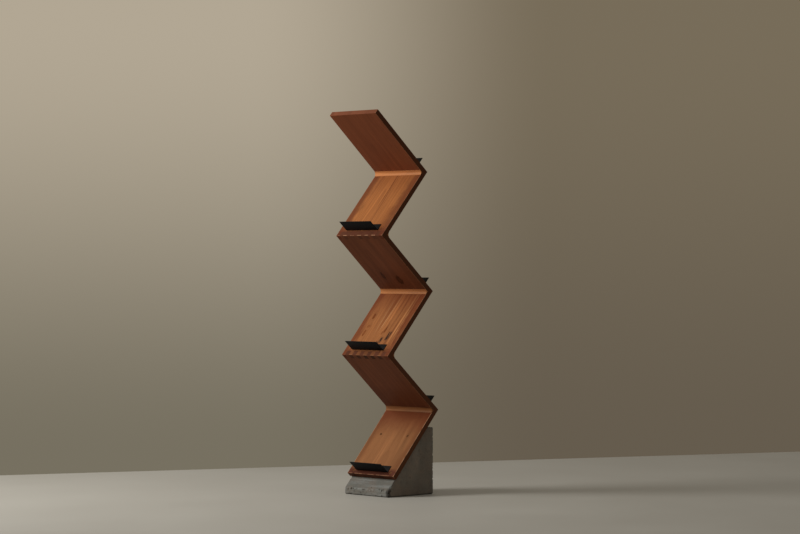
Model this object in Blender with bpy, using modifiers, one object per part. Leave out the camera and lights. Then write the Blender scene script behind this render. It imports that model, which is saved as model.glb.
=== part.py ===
"""Zigzag magazine shelf.

Six boards are finger-jointed at right angles into a standing zigzag, with a hollow cove strip glued
into each inner corner. A folded steel ledge on the upward face of each board holds magazines that
lean on the board. The lowest board is bolted to the sloping top of a cast concrete foot.

Metres, +Z up, -Y to the front. The origin is the centre of the foot's underside.
"""

import math

import bmesh
import bpy
from mathutils import Matrix

# Boards
BOARD_COUNT = 6
BOARD_WIDTH = 0.280
BOARD_LENGTH = 0.376
TOP_BOARD_EXTRA = 0.006
BOARD_THICKNESS = 0.022
FRONT_BOARD_SLOPE = math.radians(48.7)
FRONT_FINGERS = 7
BOARD_EDGE_EASE = 0.002

# Cove strips in the inner corners
COVE_LEG = 0.015
COVE_LIP = 0.001
COVE_SIDE_INSET = 0.0005

# Folded steel ledges, each at its own height above the lower end of its board
LEDGE_SIDE_MARGIN = 0.045
LOWEST_LEDGE_END_MARGIN = 0.018
FRONT_LEDGE_END_MARGIN = 0.0285
REAR_LEDGE_END_MARGIN = 0.021
TOP_LEDGE_END_MARGIN = 0.028
LEDGE_PLATE = 0.033
LEDGE_FLAP = 0.055
LEDGE_SHEET = 0.002
LEDGE_BEND_RADIUS = 0.002

# Two pan-head screws in each ledge
SCREW_SIDE_MARGIN = 0.035
SCREW_SHANK_RADIUS = 0.002
SCREW_HEAD_RADIUS = 0.004
SCREW_CROWN_RADIUS = 0.0028
SCREW_HEAD_HEIGHT = 0.0024
SCREW_HEAD_RIM = 0.0012
SCREW_WOOD_LEFT = 0.007
SCREW_POINT = 0.004

# Concrete foot
FOOT_SIDE_INSET = 0.007
FOOT_DEPTH = 0.265
FOOT_TOP_DEPTH = 0.042
FOOT_FRONT_HEIGHT = 0.028
FOOT_CORNER_CHAMFER = 0.004
FOOT_EDGE_EASE = 0.003
BOARD_SETBACK = 0.0585

# Countersunk anchor bolts through the lowest board, and the sockets cast into the foot
LOWER_BOLT_END_MARGIN = 0.0175
LOWER_BOLT_SIDE_MARGIN = 0.030
UPPER_BOLT_TOP_MARGIN = 0.0665
UPPER_BOLT_SIDE_MARGIN = 0.059
BOLT_SHANK_RADIUS = 0.003
BOLT_HEAD_RADIUS = 0.006
BOLT_HEAD_RIM = 0.0005
BOLT_HEAD_RECESS = 0.0006
BOLT_REACH = 0.036
SOCKET_WALL = 0.003
SOCKET_FLOOR = 0.004

# Fit
CLEARANCE = 0.0003
CUT_OVERRUN = 0.005
MERGE_DISTANCE = 0.00002

# Facets on round shapes
ROUND_STEPS = 16
BEND_STEPS = 5
COVE_STEPS = 8
EASE_STEPS = 2
SMOOTH_ANGLE = math.radians(35)
FLAT_ANGLE = math.radians(1)

# Derived sizes
BOARD_STEP = BOARD_LENGTH - BOARD_THICKNESS
COLUMN_COUNT = 2 * FRONT_FINGERS - 1
COLUMN_WIDTH = BOARD_WIDTH / COLUMN_COUNT
LEDGE_WIDTH = BOARD_WIDTH - 2 * LEDGE_SIDE_MARGIN
LEDGE_OUTER_BEND = LEDGE_SHEET + LEDGE_BEND_RADIUS
SCREW_HEIGHT_ON_PLATE = (LEDGE_OUTER_BEND + LEDGE_PLATE) / 2
SCREW_HOLE_RADIUS = SCREW_SHANK_RADIUS + CLEARANCE
SCREW_LENGTH = LEDGE_SHEET + 2 * CLEARANCE + BOARD_THICKNESS - SCREW_WOOD_LEFT
FOOT_WIDTH = BOARD_WIDTH - 2 * FOOT_SIDE_INSET
FOOT_SLOPE_RUN = FOOT_DEPTH - FOOT_TOP_DEPTH
FOOT_SLOPE_LENGTH = FOOT_SLOPE_RUN / math.cos(FRONT_BOARD_SLOPE)
FOOT_HEIGHT = FOOT_FRONT_HEIGHT + FOOT_SLOPE_RUN * math.tan(FRONT_BOARD_SLOPE)
BOLT_LENGTH = BOARD_THICKNESS - BOLT_HEAD_RECESS + CLEARANCE + BOLT_REACH
SOCKET_BORE_RADIUS = BOLT_SHANK_RADIUS + CLEARANCE
SOCKET_RADIUS = SOCKET_BORE_RADIUS + SOCKET_WALL
SOCKET_BORE_DEPTH = BOLT_REACH + CLEARANCE
SOCKET_LENGTH = SOCKET_BORE_DEPTH + SOCKET_FLOOR

# A rear board stands at right angles to the front ones, its length along their thickness
REAR_BOARD_TURN = (math.radians(90), 0, math.radians(180))
COVE_TURN = (math.radians(90), 0, 0)
FRONT_BOARD_TURN = (0, 0, 0)


# Helpers for objects, meshes and modifiers


def clear_scene():
    """Remove every object of the scene that is open."""
    for obj in list(bpy.data.objects):
        bpy.data.objects.remove(obj, do_unlink=True)


def make_collection(name):
    """Add a collection to the scene."""
    collection = bpy.data.collections.new(name)
    bpy.context.scene.collection.children.link(collection)
    return collection


def make_material(name, colour, roughness, metallic=0.0):
    """A plain finish on a Principled BSDF."""
    material = bpy.data.materials.new(name)
    material.use_nodes = True
    shader = material.node_tree.nodes["Principled BSDF"]
    shader.inputs["Base Color"].default_value = (*colour, 1)
    shader.inputs["Roughness"].default_value = roughness
    shader.inputs["Metallic"].default_value = metallic
    material.diffuse_color = (*colour, 1)
    return material


def place(obj, collection, parent, location, rotation=(0, 0, 0)):
    """Put an object in its collection, under its parent."""
    collection.objects.link(obj)
    obj.parent = parent
    obj.location = location
    obj.rotation_euler = rotation
    return obj


def make_frame(name, parent, location, rotation=(0, 0, 0)):
    """An empty that carries other objects."""
    return place(bpy.data.objects.new(name, None), PARTS, parent, location, rotation)


def make_part(name, mesh, material, parent, location=(0, 0, 0), rotation=(0, 0, 0)):
    """One sub-part of the shelf."""
    if not mesh.materials:
        mesh.materials.append(material)
    return place(bpy.data.objects.new(name, mesh), PARTS, parent, location, rotation)


def cut(part, name, mesh, parent, location=(0, 0, 0)):
    """Cut a shape that lies in the parent's frame out of a part."""
    cutter = place(bpy.data.objects.new(name, mesh), CUTTERS, parent, location)
    cutter.hide_render = True
    cutter.display_type = "WIRE"
    boolean = part.modifiers.new(name, "BOOLEAN")
    boolean.operation = "DIFFERENCE"
    boolean.solver = "EXACT"
    boolean.object = cutter


def ease(part, width, steps):
    """Round the edges that carry a bevel weight."""
    bevel = part.modifiers.new("Eased edges", "BEVEL")
    bevel.limit_method = "WEIGHT"
    bevel.width = width
    bevel.segments = steps


def set_edge_weights(shape, weigh):
    """Give each edge the bevel weight that a function of its two ends returns."""
    weights = shape.edges.layers.float.new("bevel_weight_edge")
    for edge in shape.edges:
        edge[weights] = weigh(*(vert.co for vert in edge.verts))


def mesh_from(name, build):
    """A mesh filled by a function that works on a bmesh."""
    mesh = bpy.data.meshes.new(name)
    shape = bmesh.new()
    build(shape)
    shape.to_mesh(mesh)
    shape.free()
    return mesh


def add_block(shape, low, high):
    """Add a box between two corners."""
    size = [b - a for a, b in zip(low, high)]
    centre = [(a + b) / 2 for a, b in zip(low, high)]
    bmesh.ops.create_cube(shape, size=1, matrix=Matrix.Translation(centre) @ Matrix.Diagonal((*size, 1)))


def add_cylinder(shape, radius, x, y, bottom, top):
    """Add an upright cylinder at a point."""
    bmesh.ops.create_cone(
        shape,
        cap_ends=True,
        segments=ROUND_STEPS,
        radius1=radius,
        radius2=radius,
        depth=top - bottom,
        matrix=Matrix.Translation((x, y, (bottom + top) / 2)),
    )


def evaluated_mesh(helper, name):
    """A helper object's evaluated mesh, welded, with its faces turned out; the helper is removed."""
    bpy.context.scene.collection.objects.link(helper)
    graph = bpy.context.evaluated_depsgraph_get()
    mesh = bpy.data.meshes.new_from_object(helper.evaluated_get(graph))
    bpy.data.objects.remove(helper, do_unlink=True)
    mesh.name = name
    mesh.materials.clear()
    shape = bmesh.new()
    shape.from_mesh(mesh)
    bmesh.ops.remove_doubles(shape, verts=shape.verts, dist=MERGE_DISTANCE)
    bmesh.ops.dissolve_limit(shape, angle_limit=FLAT_ANGLE, verts=shape.verts, edges=shape.edges)
    bmesh.ops.recalc_face_normals(shape, faces=shape.faces)
    shape.to_mesh(mesh)
    shape.free()
    mesh.shade_smooth()
    mesh.set_sharp_from_angle(angle=SMOOTH_ANGLE)
    return mesh


def extruded_mesh(name, outline, width):
    """A flat (Y, Z) outline extruded along X, to both sides of X = 0."""
    curve = bpy.data.curves.new(name, "CURVE")
    curve.dimensions = "2D"
    curve.fill_mode = "BOTH"
    curve.extrude = width / 2
    spline = curve.splines.new("POLY")
    spline.points.add(len(outline) - 1)
    for point, (y, z) in zip(spline.points, outline):
        point.co = (y, z, 0, 1)
    spline.use_cyclic_u = True
    mesh = evaluated_mesh(bpy.data.objects.new(name, curve), name)
    mesh.transform(Matrix(((0, 0, 1, 0), (1, 0, 0, 0), (0, 1, 0, 0), (0, 0, 0, 1))))
    return mesh


def turned_mesh(name, profile):
    """A (radius, height) profile, listed down its outer side, turned round the Z axis."""
    line = bpy.data.meshes.new(name)
    points = [(radius, 0, height) for radius, height in profile]
    line.from_pydata(points, [(i, i + 1) for i in range(len(points) - 1)], [])
    helper = bpy.data.objects.new(name, line)
    screw = helper.modifiers.new("Turned", "SCREW")
    screw.axis = "Z"
    screw.steps = ROUND_STEPS
    screw.render_steps = ROUND_STEPS
    screw.use_merge_vertices = True
    screw.merge_threshold = MERGE_DISTANCE
    return evaluated_mesh(helper, name)


def arc(centre, radius, start, end, steps):
    """Points on an arc between two angles in degrees."""
    angles = [math.radians(start + (end - start) * i / steps) for i in range(steps + 1)]
    return [(centre[0] + radius * math.cos(a), centre[1] + radius * math.sin(a)) for a in angles]


def both_sides(margin, width):
    """The two X places that lie a margin in from the sides of a width."""
    return (margin - width / 2, width / 2 - margin)


def same(a, b):
    """Whether two coordinates are the same place."""
    return abs(a - b) < MERGE_DISTANCE


# Scene, finishes and the frames that carry the parts

clear_scene()
PARTS = make_collection("magazine_shelf")
CUTTERS = make_collection("cutters")
FRONT_WOOD = make_material("oiled_pine_front", (0.36, 0.125, 0.037), 0.5)
REAR_WOOD = make_material("oiled_pine_rear", (0.25, 0.07, 0.025), 0.5)
COVE_WOOD = make_material("oiled_pine_cove", (0.43, 0.17, 0.056), 0.5)
BLACK_STEEL = make_material("black_coated_steel", (0.008, 0.008, 0.009), 0.5)
SCREW_STEEL = make_material("black_oxide_screw", (0.012, 0.012, 0.013), 0.4, 1)
BOLT_STEEL = make_material("dark_bolt_steel", (0.06, 0.045, 0.035), 0.45, 1)
ZINC = make_material("zinc_socket", (0.5, 0.5, 0.52), 0.4, 1)
CONCRETE = make_material("cast_concrete", (0.19, 0.185, 0.157), 0.85)
SHELF_FRAME = make_frame("shelf_frame", None, (0, 0, 0))
SLOPE_START = (0, -FOOT_DEPTH / 2, FOOT_FRONT_HEIGHT)
SLOPE_FRAME = make_frame("slope_frame", SHELF_FRAME, SLOPE_START, (FRONT_BOARD_SLOPE, 0, 0))


# Boards: X across, Y up the length, Z out of the upward face


def ledge_end_margin(index):
    """How far above the lower end of a board its ledge is folded."""
    if index == 0:
        return LOWEST_LEDGE_END_MARGIN
    if index == BOARD_COUNT - 1:
        return TOP_LEDGE_END_MARGIN
    return REAR_LEDGE_END_MARGIN if index % 2 else FRONT_LEDGE_END_MARGIN


def board_edge_weight(first, second, length, jointed_below, jointed_above):
    """Whether a board's edge is eased: not where it meets the next board inside a corner."""
    lowest, highest = sorted((first.y, second.y))
    at_lower_end, at_upper_end = same(highest, 0), same(lowest, length)
    on_face = same(first.z, BOARD_THICKNESS) and same(second.z, BOARD_THICKNESS)
    on_underside = same(first.z, 0) and same(second.z, 0)
    if not same(first.y, second.y):
        inner_below = jointed_below and on_underside and same(lowest, 0)
        inner_above = jointed_above and on_face and same(highest, length)
        return 0 if inner_below or inner_above else 1
    if same(first.x, second.x):
        return 1 if at_lower_end or at_upper_end else 0
    if at_lower_end:
        return 1 if on_face or not jointed_below else 0
    if at_upper_end:
        return 1 if on_underside or not jointed_above else 0
    return 0


def board_mesh(name, length, jointed_below, jointed_above):
    """A plain board, divided where the neighbouring boards meet it."""

    def build(shape):
        half = BOARD_WIDTH / 2
        add_block(shape, (-half, 0, 0), (half, length, BOARD_THICKNESS))
        for joint in (BOARD_THICKNESS, BOARD_STEP):
            everything = shape.verts[:] + shape.edges[:] + shape.faces[:]
            bmesh.ops.bisect_plane(shape, geom=everything, plane_co=(0, joint, 0), plane_no=(0, 1, 0))
        set_edge_weights(shape, lambda a, b: board_edge_weight(a, b, length, jointed_below, jointed_above))

    return mesh_from(name, build)


def finger_gaps_mesh(name, first_column, jointed_below, jointed_above):
    """The gaps between a board's fingers: every second column across the width, at its jointed ends."""
    depth = BOARD_THICKNESS + CLEARANCE
    spans = []
    if jointed_below:
        spans.append((-CUT_OVERRUN, depth))
    if jointed_above:
        spans.append((BOARD_LENGTH - depth, BOARD_LENGTH + CUT_OVERRUN))

    def build(shape):
        for column in range(first_column, COLUMN_COUNT, 2):
            left = column * COLUMN_WIDTH - BOARD_WIDTH / 2 - CLEARANCE / 2
            right = left + COLUMN_WIDTH + CLEARANCE
            for start, stop in spans:
                low = (left, start, -CUT_OVERRUN)
                add_block(shape, low, (right, stop, BOARD_THICKNESS + CUT_OVERRUN))

    return mesh_from(name, build)


def pilot_holes_mesh(name, index):
    """The holes in a board that its ledge's screws enter."""

    def build(shape):
        y = ledge_end_margin(index) + SCREW_HEIGHT_ON_PLATE
        bottom = SCREW_WOOD_LEFT - CLEARANCE
        for x in both_sides(SCREW_SIDE_MARGIN, LEDGE_WIDTH):
            add_cylinder(shape, SCREW_HOLE_RADIUS, x, y, bottom, BOARD_THICKNESS + CUT_OVERRUN)

    return mesh_from(name, build)


def make_board(name, index):
    """One board of the zigzag, with its fingers and pilot holes cut."""
    level, is_rear = divmod(index, 2)
    jointed_below = index > 0
    jointed_above = index < BOARD_COUNT - 1
    length = BOARD_LENGTH if jointed_above else BOARD_LENGTH + TOP_BOARD_EXTRA
    rise = level * BOARD_STEP
    board = make_part(
        name,
        board_mesh(name, length, jointed_below, jointed_above),
        REAR_WOOD if is_rear else FRONT_WOOD,
        SLOPE_FRAME,
        (0, BOARD_SETBACK + rise + is_rear * BOARD_STEP, CLEARANCE + rise),
        REAR_BOARD_TURN if is_rear else FRONT_BOARD_TURN,
    )
    ease(board, BOARD_EDGE_EASE, EASE_STEPS)
    gaps = name + "_finger_gaps"
    first_gap = 0 if is_rear else 1
    cut(board, gaps, finger_gaps_mesh(gaps, first_gap, jointed_below, jointed_above), board)
    holes = name + "_pilot_holes"
    cut(board, holes, pilot_holes_mesh(holes, index), board)
    return board


# Cove strips


def cove_mesh():
    """A hollow strip, its legs along +Y and +Z."""
    hollow = arc((COVE_LEG, COVE_LEG), COVE_LEG - COVE_LIP, 270, 180, COVE_STEPS)
    outline = [(0, 0), (COVE_LEG, 0), *hollow, (0, COVE_LEG)]
    return extruded_mesh("cove", outline, BOARD_WIDTH - 2 * COVE_SIDE_INSET)


def make_cove(name, mesh, board):
    """A cove in the corner of a board's upward face and the next board."""
    corner = (0, BOARD_STEP - CLEARANCE, BOARD_THICKNESS + CLEARANCE)
    return make_part(name, mesh, COVE_WOOD, board, corner, COVE_TURN)


# Ledges and their screws


def ledge_mesh():
    """A folded sheet: the plate runs up the board along Y, the flap stands out along Z."""
    bend = (LEDGE_OUTER_BEND, LEDGE_OUTER_BEND)
    inside = arc(bend, LEDGE_BEND_RADIUS, 270, 180, BEND_STEPS)
    outside = arc(bend, LEDGE_OUTER_BEND, 180, 270, BEND_STEPS)
    plate_end = [(LEDGE_PLATE, 0), (LEDGE_PLATE, LEDGE_SHEET)]
    flap_end = [(LEDGE_SHEET, LEDGE_FLAP), (0, LEDGE_FLAP)]
    return extruded_mesh("ledge", [*plate_end, *inside, *flap_end, *outside], LEDGE_WIDTH)


def screw_holes_mesh():
    """The clearance holes in a ledge's plate."""

    def build(shape):
        for x in both_sides(SCREW_SIDE_MARGIN, LEDGE_WIDTH):
            top = LEDGE_SHEET + CUT_OVERRUN
            add_cylinder(shape, SCREW_HOLE_RADIUS, x, SCREW_HEIGHT_ON_PLATE, -CUT_OVERRUN, top)

    return mesh_from("screw_holes", build)


def screw_mesh():
    """A pan-head wood screw, its head's underside at Z = 0."""
    profile = [
        (0, SCREW_HEAD_HEIGHT),
        (SCREW_CROWN_RADIUS, SCREW_HEAD_HEIGHT),
        (SCREW_HEAD_RADIUS, SCREW_HEAD_RIM),
        (SCREW_HEAD_RADIUS, 0),
        (SCREW_SHANK_RADIUS, 0),
        (SCREW_SHANK_RADIUS, SCREW_POINT - SCREW_LENGTH),
        (0, -SCREW_LENGTH),
    ]
    return turned_mesh("ledge_screw", profile)


def make_ledge(name, index, board, meshes):
    """A folded ledge on a board's upward face, held by two screws."""
    location = (0, ledge_end_margin(index), BOARD_THICKNESS + CLEARANCE)
    ledge = make_part(name, meshes["ledge"], BLACK_STEEL, board, location)
    cut(ledge, name + "_screw_holes", meshes["screw_holes"], ledge)
    for number, x in enumerate(both_sides(SCREW_SIDE_MARGIN, LEDGE_WIDTH), 1):
        seat = (x, SCREW_HEIGHT_ON_PLATE, LEDGE_SHEET + CLEARANCE)
        make_part(f"{name}_screw_{number}", meshes["screw"], SCREW_STEEL, ledge, seat)
    return ledge


# Concrete foot and the anchors that hold the lowest board


def foot_edge_weight(first, second):
    """The upright corners take the full chamfer, every other edge is only eased."""
    is_upright = same(first.x, second.x) and same(first.y, second.y)
    return 1 if is_upright else FOOT_EDGE_EASE / FOOT_CORNER_CHAMFER


def make_foot(name):
    """The concrete foot: a wedge with chamfered upright corners."""
    front, back = -FOOT_DEPTH / 2, FOOT_DEPTH / 2
    outline = [
        (front, 0),
        (back, 0),
        (back, FOOT_HEIGHT),
        (back - FOOT_TOP_DEPTH, FOOT_HEIGHT),
        (front, FOOT_FRONT_HEIGHT),
    ]
    mesh = extruded_mesh(name, outline, FOOT_WIDTH)
    shape = bmesh.new()
    shape.from_mesh(mesh)
    set_edge_weights(shape, foot_edge_weight)
    shape.to_mesh(mesh)
    shape.free()
    foot = make_part(name, mesh, CONCRETE, SHELF_FRAME)
    ease(foot, FOOT_CORNER_CHAMFER, 1)
    return foot


def bolt_mesh(name, spare, head_top):
    """A countersunk bolt, grown by a spare room all round; at its true size its head ends at Z = 0."""
    head = BOLT_HEAD_RADIUS + spare
    shank = BOLT_SHANK_RADIUS + spare
    rim = BOLT_HEAD_RIM + spare
    end = -BOLT_LENGTH - spare
    profile = [(0, head_top), (head, head_top), (head, -rim), (shank, shank - head - rim), (shank, end), (0, end)]
    return turned_mesh(name, profile)


def socket_mesh():
    """A blind threaded socket, its mouth at Z = 0."""
    profile = [
        (0, -SOCKET_BORE_DEPTH),
        (SOCKET_BORE_RADIUS, -SOCKET_BORE_DEPTH),
        (SOCKET_BORE_RADIUS, 0),
        (SOCKET_RADIUS, 0),
        (SOCKET_RADIUS, -SOCKET_LENGTH),
        (0, -SOCKET_LENGTH),
    ]
    return turned_mesh("anchor_socket", profile)


def socket_pocket_mesh():
    """The room that a socket takes in the concrete."""
    radius = SOCKET_RADIUS + CLEARANCE
    floor = -SOCKET_LENGTH - CLEARANCE
    return turned_mesh("socket_pocket", [(0, CUT_OVERRUN), (radius, CUT_OVERRUN), (radius, floor), (0, floor)])


def make_anchors(foot, board):
    """The bolts that hold the lowest board, and their sockets in the foot."""
    lower_y = BOARD_SETBACK + LOWER_BOLT_END_MARGIN
    upper_y = FOOT_SLOPE_LENGTH - UPPER_BOLT_TOP_MARGIN
    places = [(x, lower_y) for x in both_sides(LOWER_BOLT_SIDE_MARGIN, BOARD_WIDTH)]
    places += [(x, upper_y) for x in both_sides(UPPER_BOLT_SIDE_MARGIN, BOARD_WIDTH)]
    bolt = bolt_mesh("anchor_bolt", 0, 0)
    hole = bolt_mesh("bolt_hole", CLEARANCE, CUT_OVERRUN)
    socket = socket_mesh()
    pocket = socket_pocket_mesh()
    for number, (x, y) in enumerate(places, 1):
        mouth = (x, y, 0)
        head = (x, y - BOARD_SETBACK, BOARD_THICKNESS - BOLT_HEAD_RECESS)
        make_part(f"anchor_socket_{number}", socket, ZINC, SLOPE_FRAME, mouth)
        cut(foot, f"anchor_pocket_{number}", pocket, SLOPE_FRAME, mouth)
        make_part(f"anchor_bolt_{number}", bolt, BOLT_STEEL, board, head)
        cut(board, f"anchor_hole_{number}", hole, board, head)


def main():
    """Build the foot, then the boards from the lowest up."""
    foot = make_foot("concrete_base")
    cove = cove_mesh()
    ledge_meshes = {"ledge": ledge_mesh(), "screw_holes": screw_holes_mesh(), "screw": screw_mesh()}
    for index in range(BOARD_COUNT):
        side = "rear" if index % 2 else "front"
        level = index // 2 + 1
        board = make_board(f"{side}_board_{level}", index)
        make_ledge(f"{side}_ledge_{level}", index, board, ledge_meshes)
        if index == 0:
            make_anchors(foot, board)
        if index < BOARD_COUNT - 1:
            make_cove(f"{side}_cove_{level}", cove, board)


main()
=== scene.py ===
"""Looks of the zigzag magazine shelf: oiled pine boards, black steel ledges and a cast concrete foot.

Metres, +Z up, -Y to the front, in the frame of the solids. A board's own frame has X across, Y up its
length and Z out of its upward face. Patterns in the materials are measured in millimetres.
"""

from __future__ import annotations

import logging
import math
from dataclasses import dataclass
from enum import Enum
from typing import Any, Callable, Iterable, Union

import bmesh
import bpy
from mathutils import Euler, Matrix, Vector


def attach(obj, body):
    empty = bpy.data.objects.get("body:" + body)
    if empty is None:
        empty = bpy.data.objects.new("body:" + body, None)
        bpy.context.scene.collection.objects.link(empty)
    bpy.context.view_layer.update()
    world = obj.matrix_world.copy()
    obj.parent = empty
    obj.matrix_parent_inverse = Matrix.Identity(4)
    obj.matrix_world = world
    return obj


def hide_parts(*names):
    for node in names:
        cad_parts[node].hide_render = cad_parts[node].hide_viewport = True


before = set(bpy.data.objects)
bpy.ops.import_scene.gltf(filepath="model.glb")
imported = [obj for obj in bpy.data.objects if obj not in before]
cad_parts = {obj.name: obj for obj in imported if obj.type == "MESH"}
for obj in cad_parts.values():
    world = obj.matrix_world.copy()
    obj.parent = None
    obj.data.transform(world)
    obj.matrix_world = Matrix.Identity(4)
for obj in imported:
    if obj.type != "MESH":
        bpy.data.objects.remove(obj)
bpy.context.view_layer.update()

LOG = logging.getLogger("magazine_shelf")
BODY = "root"
MILLIMETRES = 1000.0
SMOOTH_ANGLE = math.radians(40)
SQUARE_NORMAL = 0.9995
MERGE_DISTANCE = 0.00002
ROUND_SIDES = 32
EASE_STEPS = 2
ROUND_PROFILE = 0.5
AXIS = "axis"
UP = Vector((0, 0, 1))
SHELF_FRAME = Matrix.Identity(4)

Colour = tuple[float, float, float]
Pair = tuple[float, float]
Seat = tuple[Vector, Vector]
Value = Union["Sock", float, int, bool, tuple, list, str]


# Node trees written as expressions


class Sock:
    """A node's output socket; arithmetic on it adds Math nodes to its tree."""

    def __init__(self, graph: Graph, socket: bpy.types.NodeSocket) -> None:
        """Wrap one output socket of a graph."""
        self.graph = graph
        self.socket = socket

    def out(self, name: str) -> Sock:
        """Another output of the same node."""
        return Sock(self.graph, find_socket(self.socket.node.outputs, name))

    def math(self, operation: str, *others: Value) -> Sock:
        """A Math node on this value and others."""
        return self.graph.math(operation, self, *others)

    def __add__(self, other: Value) -> Sock:
        """This plus a value."""
        return self.math("ADD", other)

    def __radd__(self, other: Value) -> Sock:
        """A value plus this."""
        return self.math("ADD", other)

    def __sub__(self, other: Value) -> Sock:
        """This less a value."""
        return self.math("SUBTRACT", other)

    def __rsub__(self, other: Value) -> Sock:
        """A value less this."""
        return self.graph.math("SUBTRACT", other, self)

    def __mul__(self, other: Value) -> Sock:
        """This times a value."""
        return self.math("MULTIPLY", other)

    def __rmul__(self, other: Value) -> Sock:
        """A value times this."""
        return self.math("MULTIPLY", other)

    def __truediv__(self, other: Value) -> Sock:
        """This over a value."""
        return self.math("DIVIDE", other)

    def __rtruediv__(self, other: Value) -> Sock:
        """A value over this."""
        return self.graph.math("DIVIDE", other, self)

    def __neg__(self) -> Sock:
        """This with its sign turned."""
        return self.math("MULTIPLY", -1.0)

    def __abs__(self) -> Sock:
        """This without its sign."""
        return self.math("ABSOLUTE")

    def __gt__(self, other: Value) -> Sock:
        """1 where this is greater, otherwise 0."""
        return self.math("GREATER_THAN", other)

    def __lt__(self, other: Value) -> Sock:
        """1 where this is less, otherwise 0."""
        return self.math("LESS_THAN", other)

    def floor(self) -> Sock:
        """The whole number below this."""
        return self.math("FLOOR")

    def fraction(self) -> Sock:
        """What this has over the whole number below it."""
        return self.math("FRACT")

    def root(self) -> Sock:
        """The square root of this."""
        return self.math("SQRT")

    def rise(self, low: Value, high: Value) -> Sock:
        """Go smoothly from 0 at low to 1 at high, which may be the lesser of the two."""
        ends = {"Value": self, "From Min": low, "From Max": high}
        return self.graph.node("ShaderNodeMapRange", {"interpolation_type": "SMOOTHSTEP"}, ends)

    def ridge(self, up: Pair, down: Pair) -> Sock:
        """Rise along one pair of ends and fall again along another."""
        return self.rise(*up) * self.rise(*down)


def find_socket(sockets: bpy.types.bpy_prop_collection, key: str | int) -> bpy.types.NodeSocket:
    """Find a socket of a node.

    Args:
        sockets: the node's inputs or outputs.
        key: a number or a name.

    Returns:
        The socket; among those of one name, the one that the node's settings use.
    """
    if isinstance(key, int):
        return sockets[key]
    named = [s for s in sockets if s.name == key]
    return next((s for s in named if s.enabled), named[0])


@dataclass(frozen=True)
class Waves:
    """A soft noise: waves per unit, one number or one for each axis, and how rich its finer layers are."""

    scale: float | tuple[float, float, float]
    layers: float = 2.0
    strength: float = 0.5


class Graph:
    """Builds one node tree."""

    def __init__(self, tree: bpy.types.NodeTree) -> None:
        """Start on a tree."""
        self.tree = tree

    def node(
        self,
        kind: str,
        settings: dict[str, Any] | None = None,
        sockets: dict[str | int, Value] | None = None,
    ) -> Sock:
        """Add a node.

        Args:
            kind: the node's type.
            settings: its properties, which are set first.
            sockets: a value, a link or a list of links for each input, by name or number.

        Returns:
            The first output that the node's settings use.
        """
        node = self.tree.nodes.new(kind)
        for name, value in (settings or {}).items():
            setattr(node, name, value)
        for key, value in (sockets or {}).items():
            self.feed(find_socket(node.inputs, key), value)
        return Sock(self, next(s for s in node.outputs if s.enabled))

    def feed(self, socket: bpy.types.NodeSocket, value: Value) -> None:
        """Set an input's value, or link it.

        Args:
            socket: the input.
            value: a number, a tuple, one link or a list of links; a number alone gives a grey.
        """
        if isinstance(value, Sock):
            self.tree.links.new(value.socket, socket)
        elif isinstance(value, list):
            for link in value:
                self.tree.links.new(link.socket, socket)
        elif socket.type == "RGBA":
            parts = (value,) * 3 if isinstance(value, float) else value
            socket.default_value = (*parts, 1.0)
        else:
            socket.default_value = value

    def math(self, operation: str, *values: Value) -> Sock:
        """A Math node on values and links."""
        return self.node("ShaderNodeMath", {"operation": operation}, dict(enumerate(values)))

    def vector(self, operation: str, *values: Value) -> Sock:
        """A Vector Math node on vectors and links."""
        return self.node("ShaderNodeVectorMath", {"operation": operation}, dict(enumerate(values)))

    def scaled(self, vector: Sock, factor: Value) -> Sock:
        """A vector times a value."""
        return self.node("ShaderNodeVectorMath", {"operation": "SCALE"}, {0: vector, "Scale": factor})

    def split(self, vector: Sock) -> tuple[Sock, Sock, Sock]:
        """The three parts of a vector."""
        parts = self.node("ShaderNodeSeparateXYZ", None, {0: vector})
        return parts, parts.out("Y"), parts.out("Z")

    def join(self, x: Value, y: Value, z: Value) -> Sock:
        """A vector of three parts."""
        return self.node("ShaderNodeCombineXYZ", None, {0: x, 1: y, 2: z})

    def mix(self, share: Value, first: Value, second: Value, blend: str = "MIX") -> Sock:
        """A blend of two colours."""
        settings = {"data_type": "RGBA", "blend_type": blend}
        return self.node("ShaderNodeMix", settings, {"Factor": share, "A": first, "B": second})

    def noise(self, place: Sock, waves: Waves) -> Sock:
        """Soft noise between 0 and 1.

        Args:
            place: where it is read.
            waves: how fine it is.

        Returns:
            The noise as a value.
        """
        scale = waves.scale
        if isinstance(scale, tuple):
            place = self.vector("MULTIPLY", place, scale)
            scale = 1.0
        sockets = {"Vector": place, "Scale": scale, "Detail": waves.layers, "Roughness": waves.strength}
        return self.node("ShaderNodeTexNoise", None, sockets)

    def swing(self, place: Sock, waves: Waves, width: float) -> Sock:
        """Soft noise round 0, of that width from end to end."""
        return (self.noise(place, waves) - 0.5) * width

    def chance(self, number: Value) -> Sock:
        """A random value between 0 and 1 for each whole number."""
        return self.node("ShaderNodeTexWhiteNoise", {"noise_dimensions": "1D"}, {"W": number})


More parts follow.
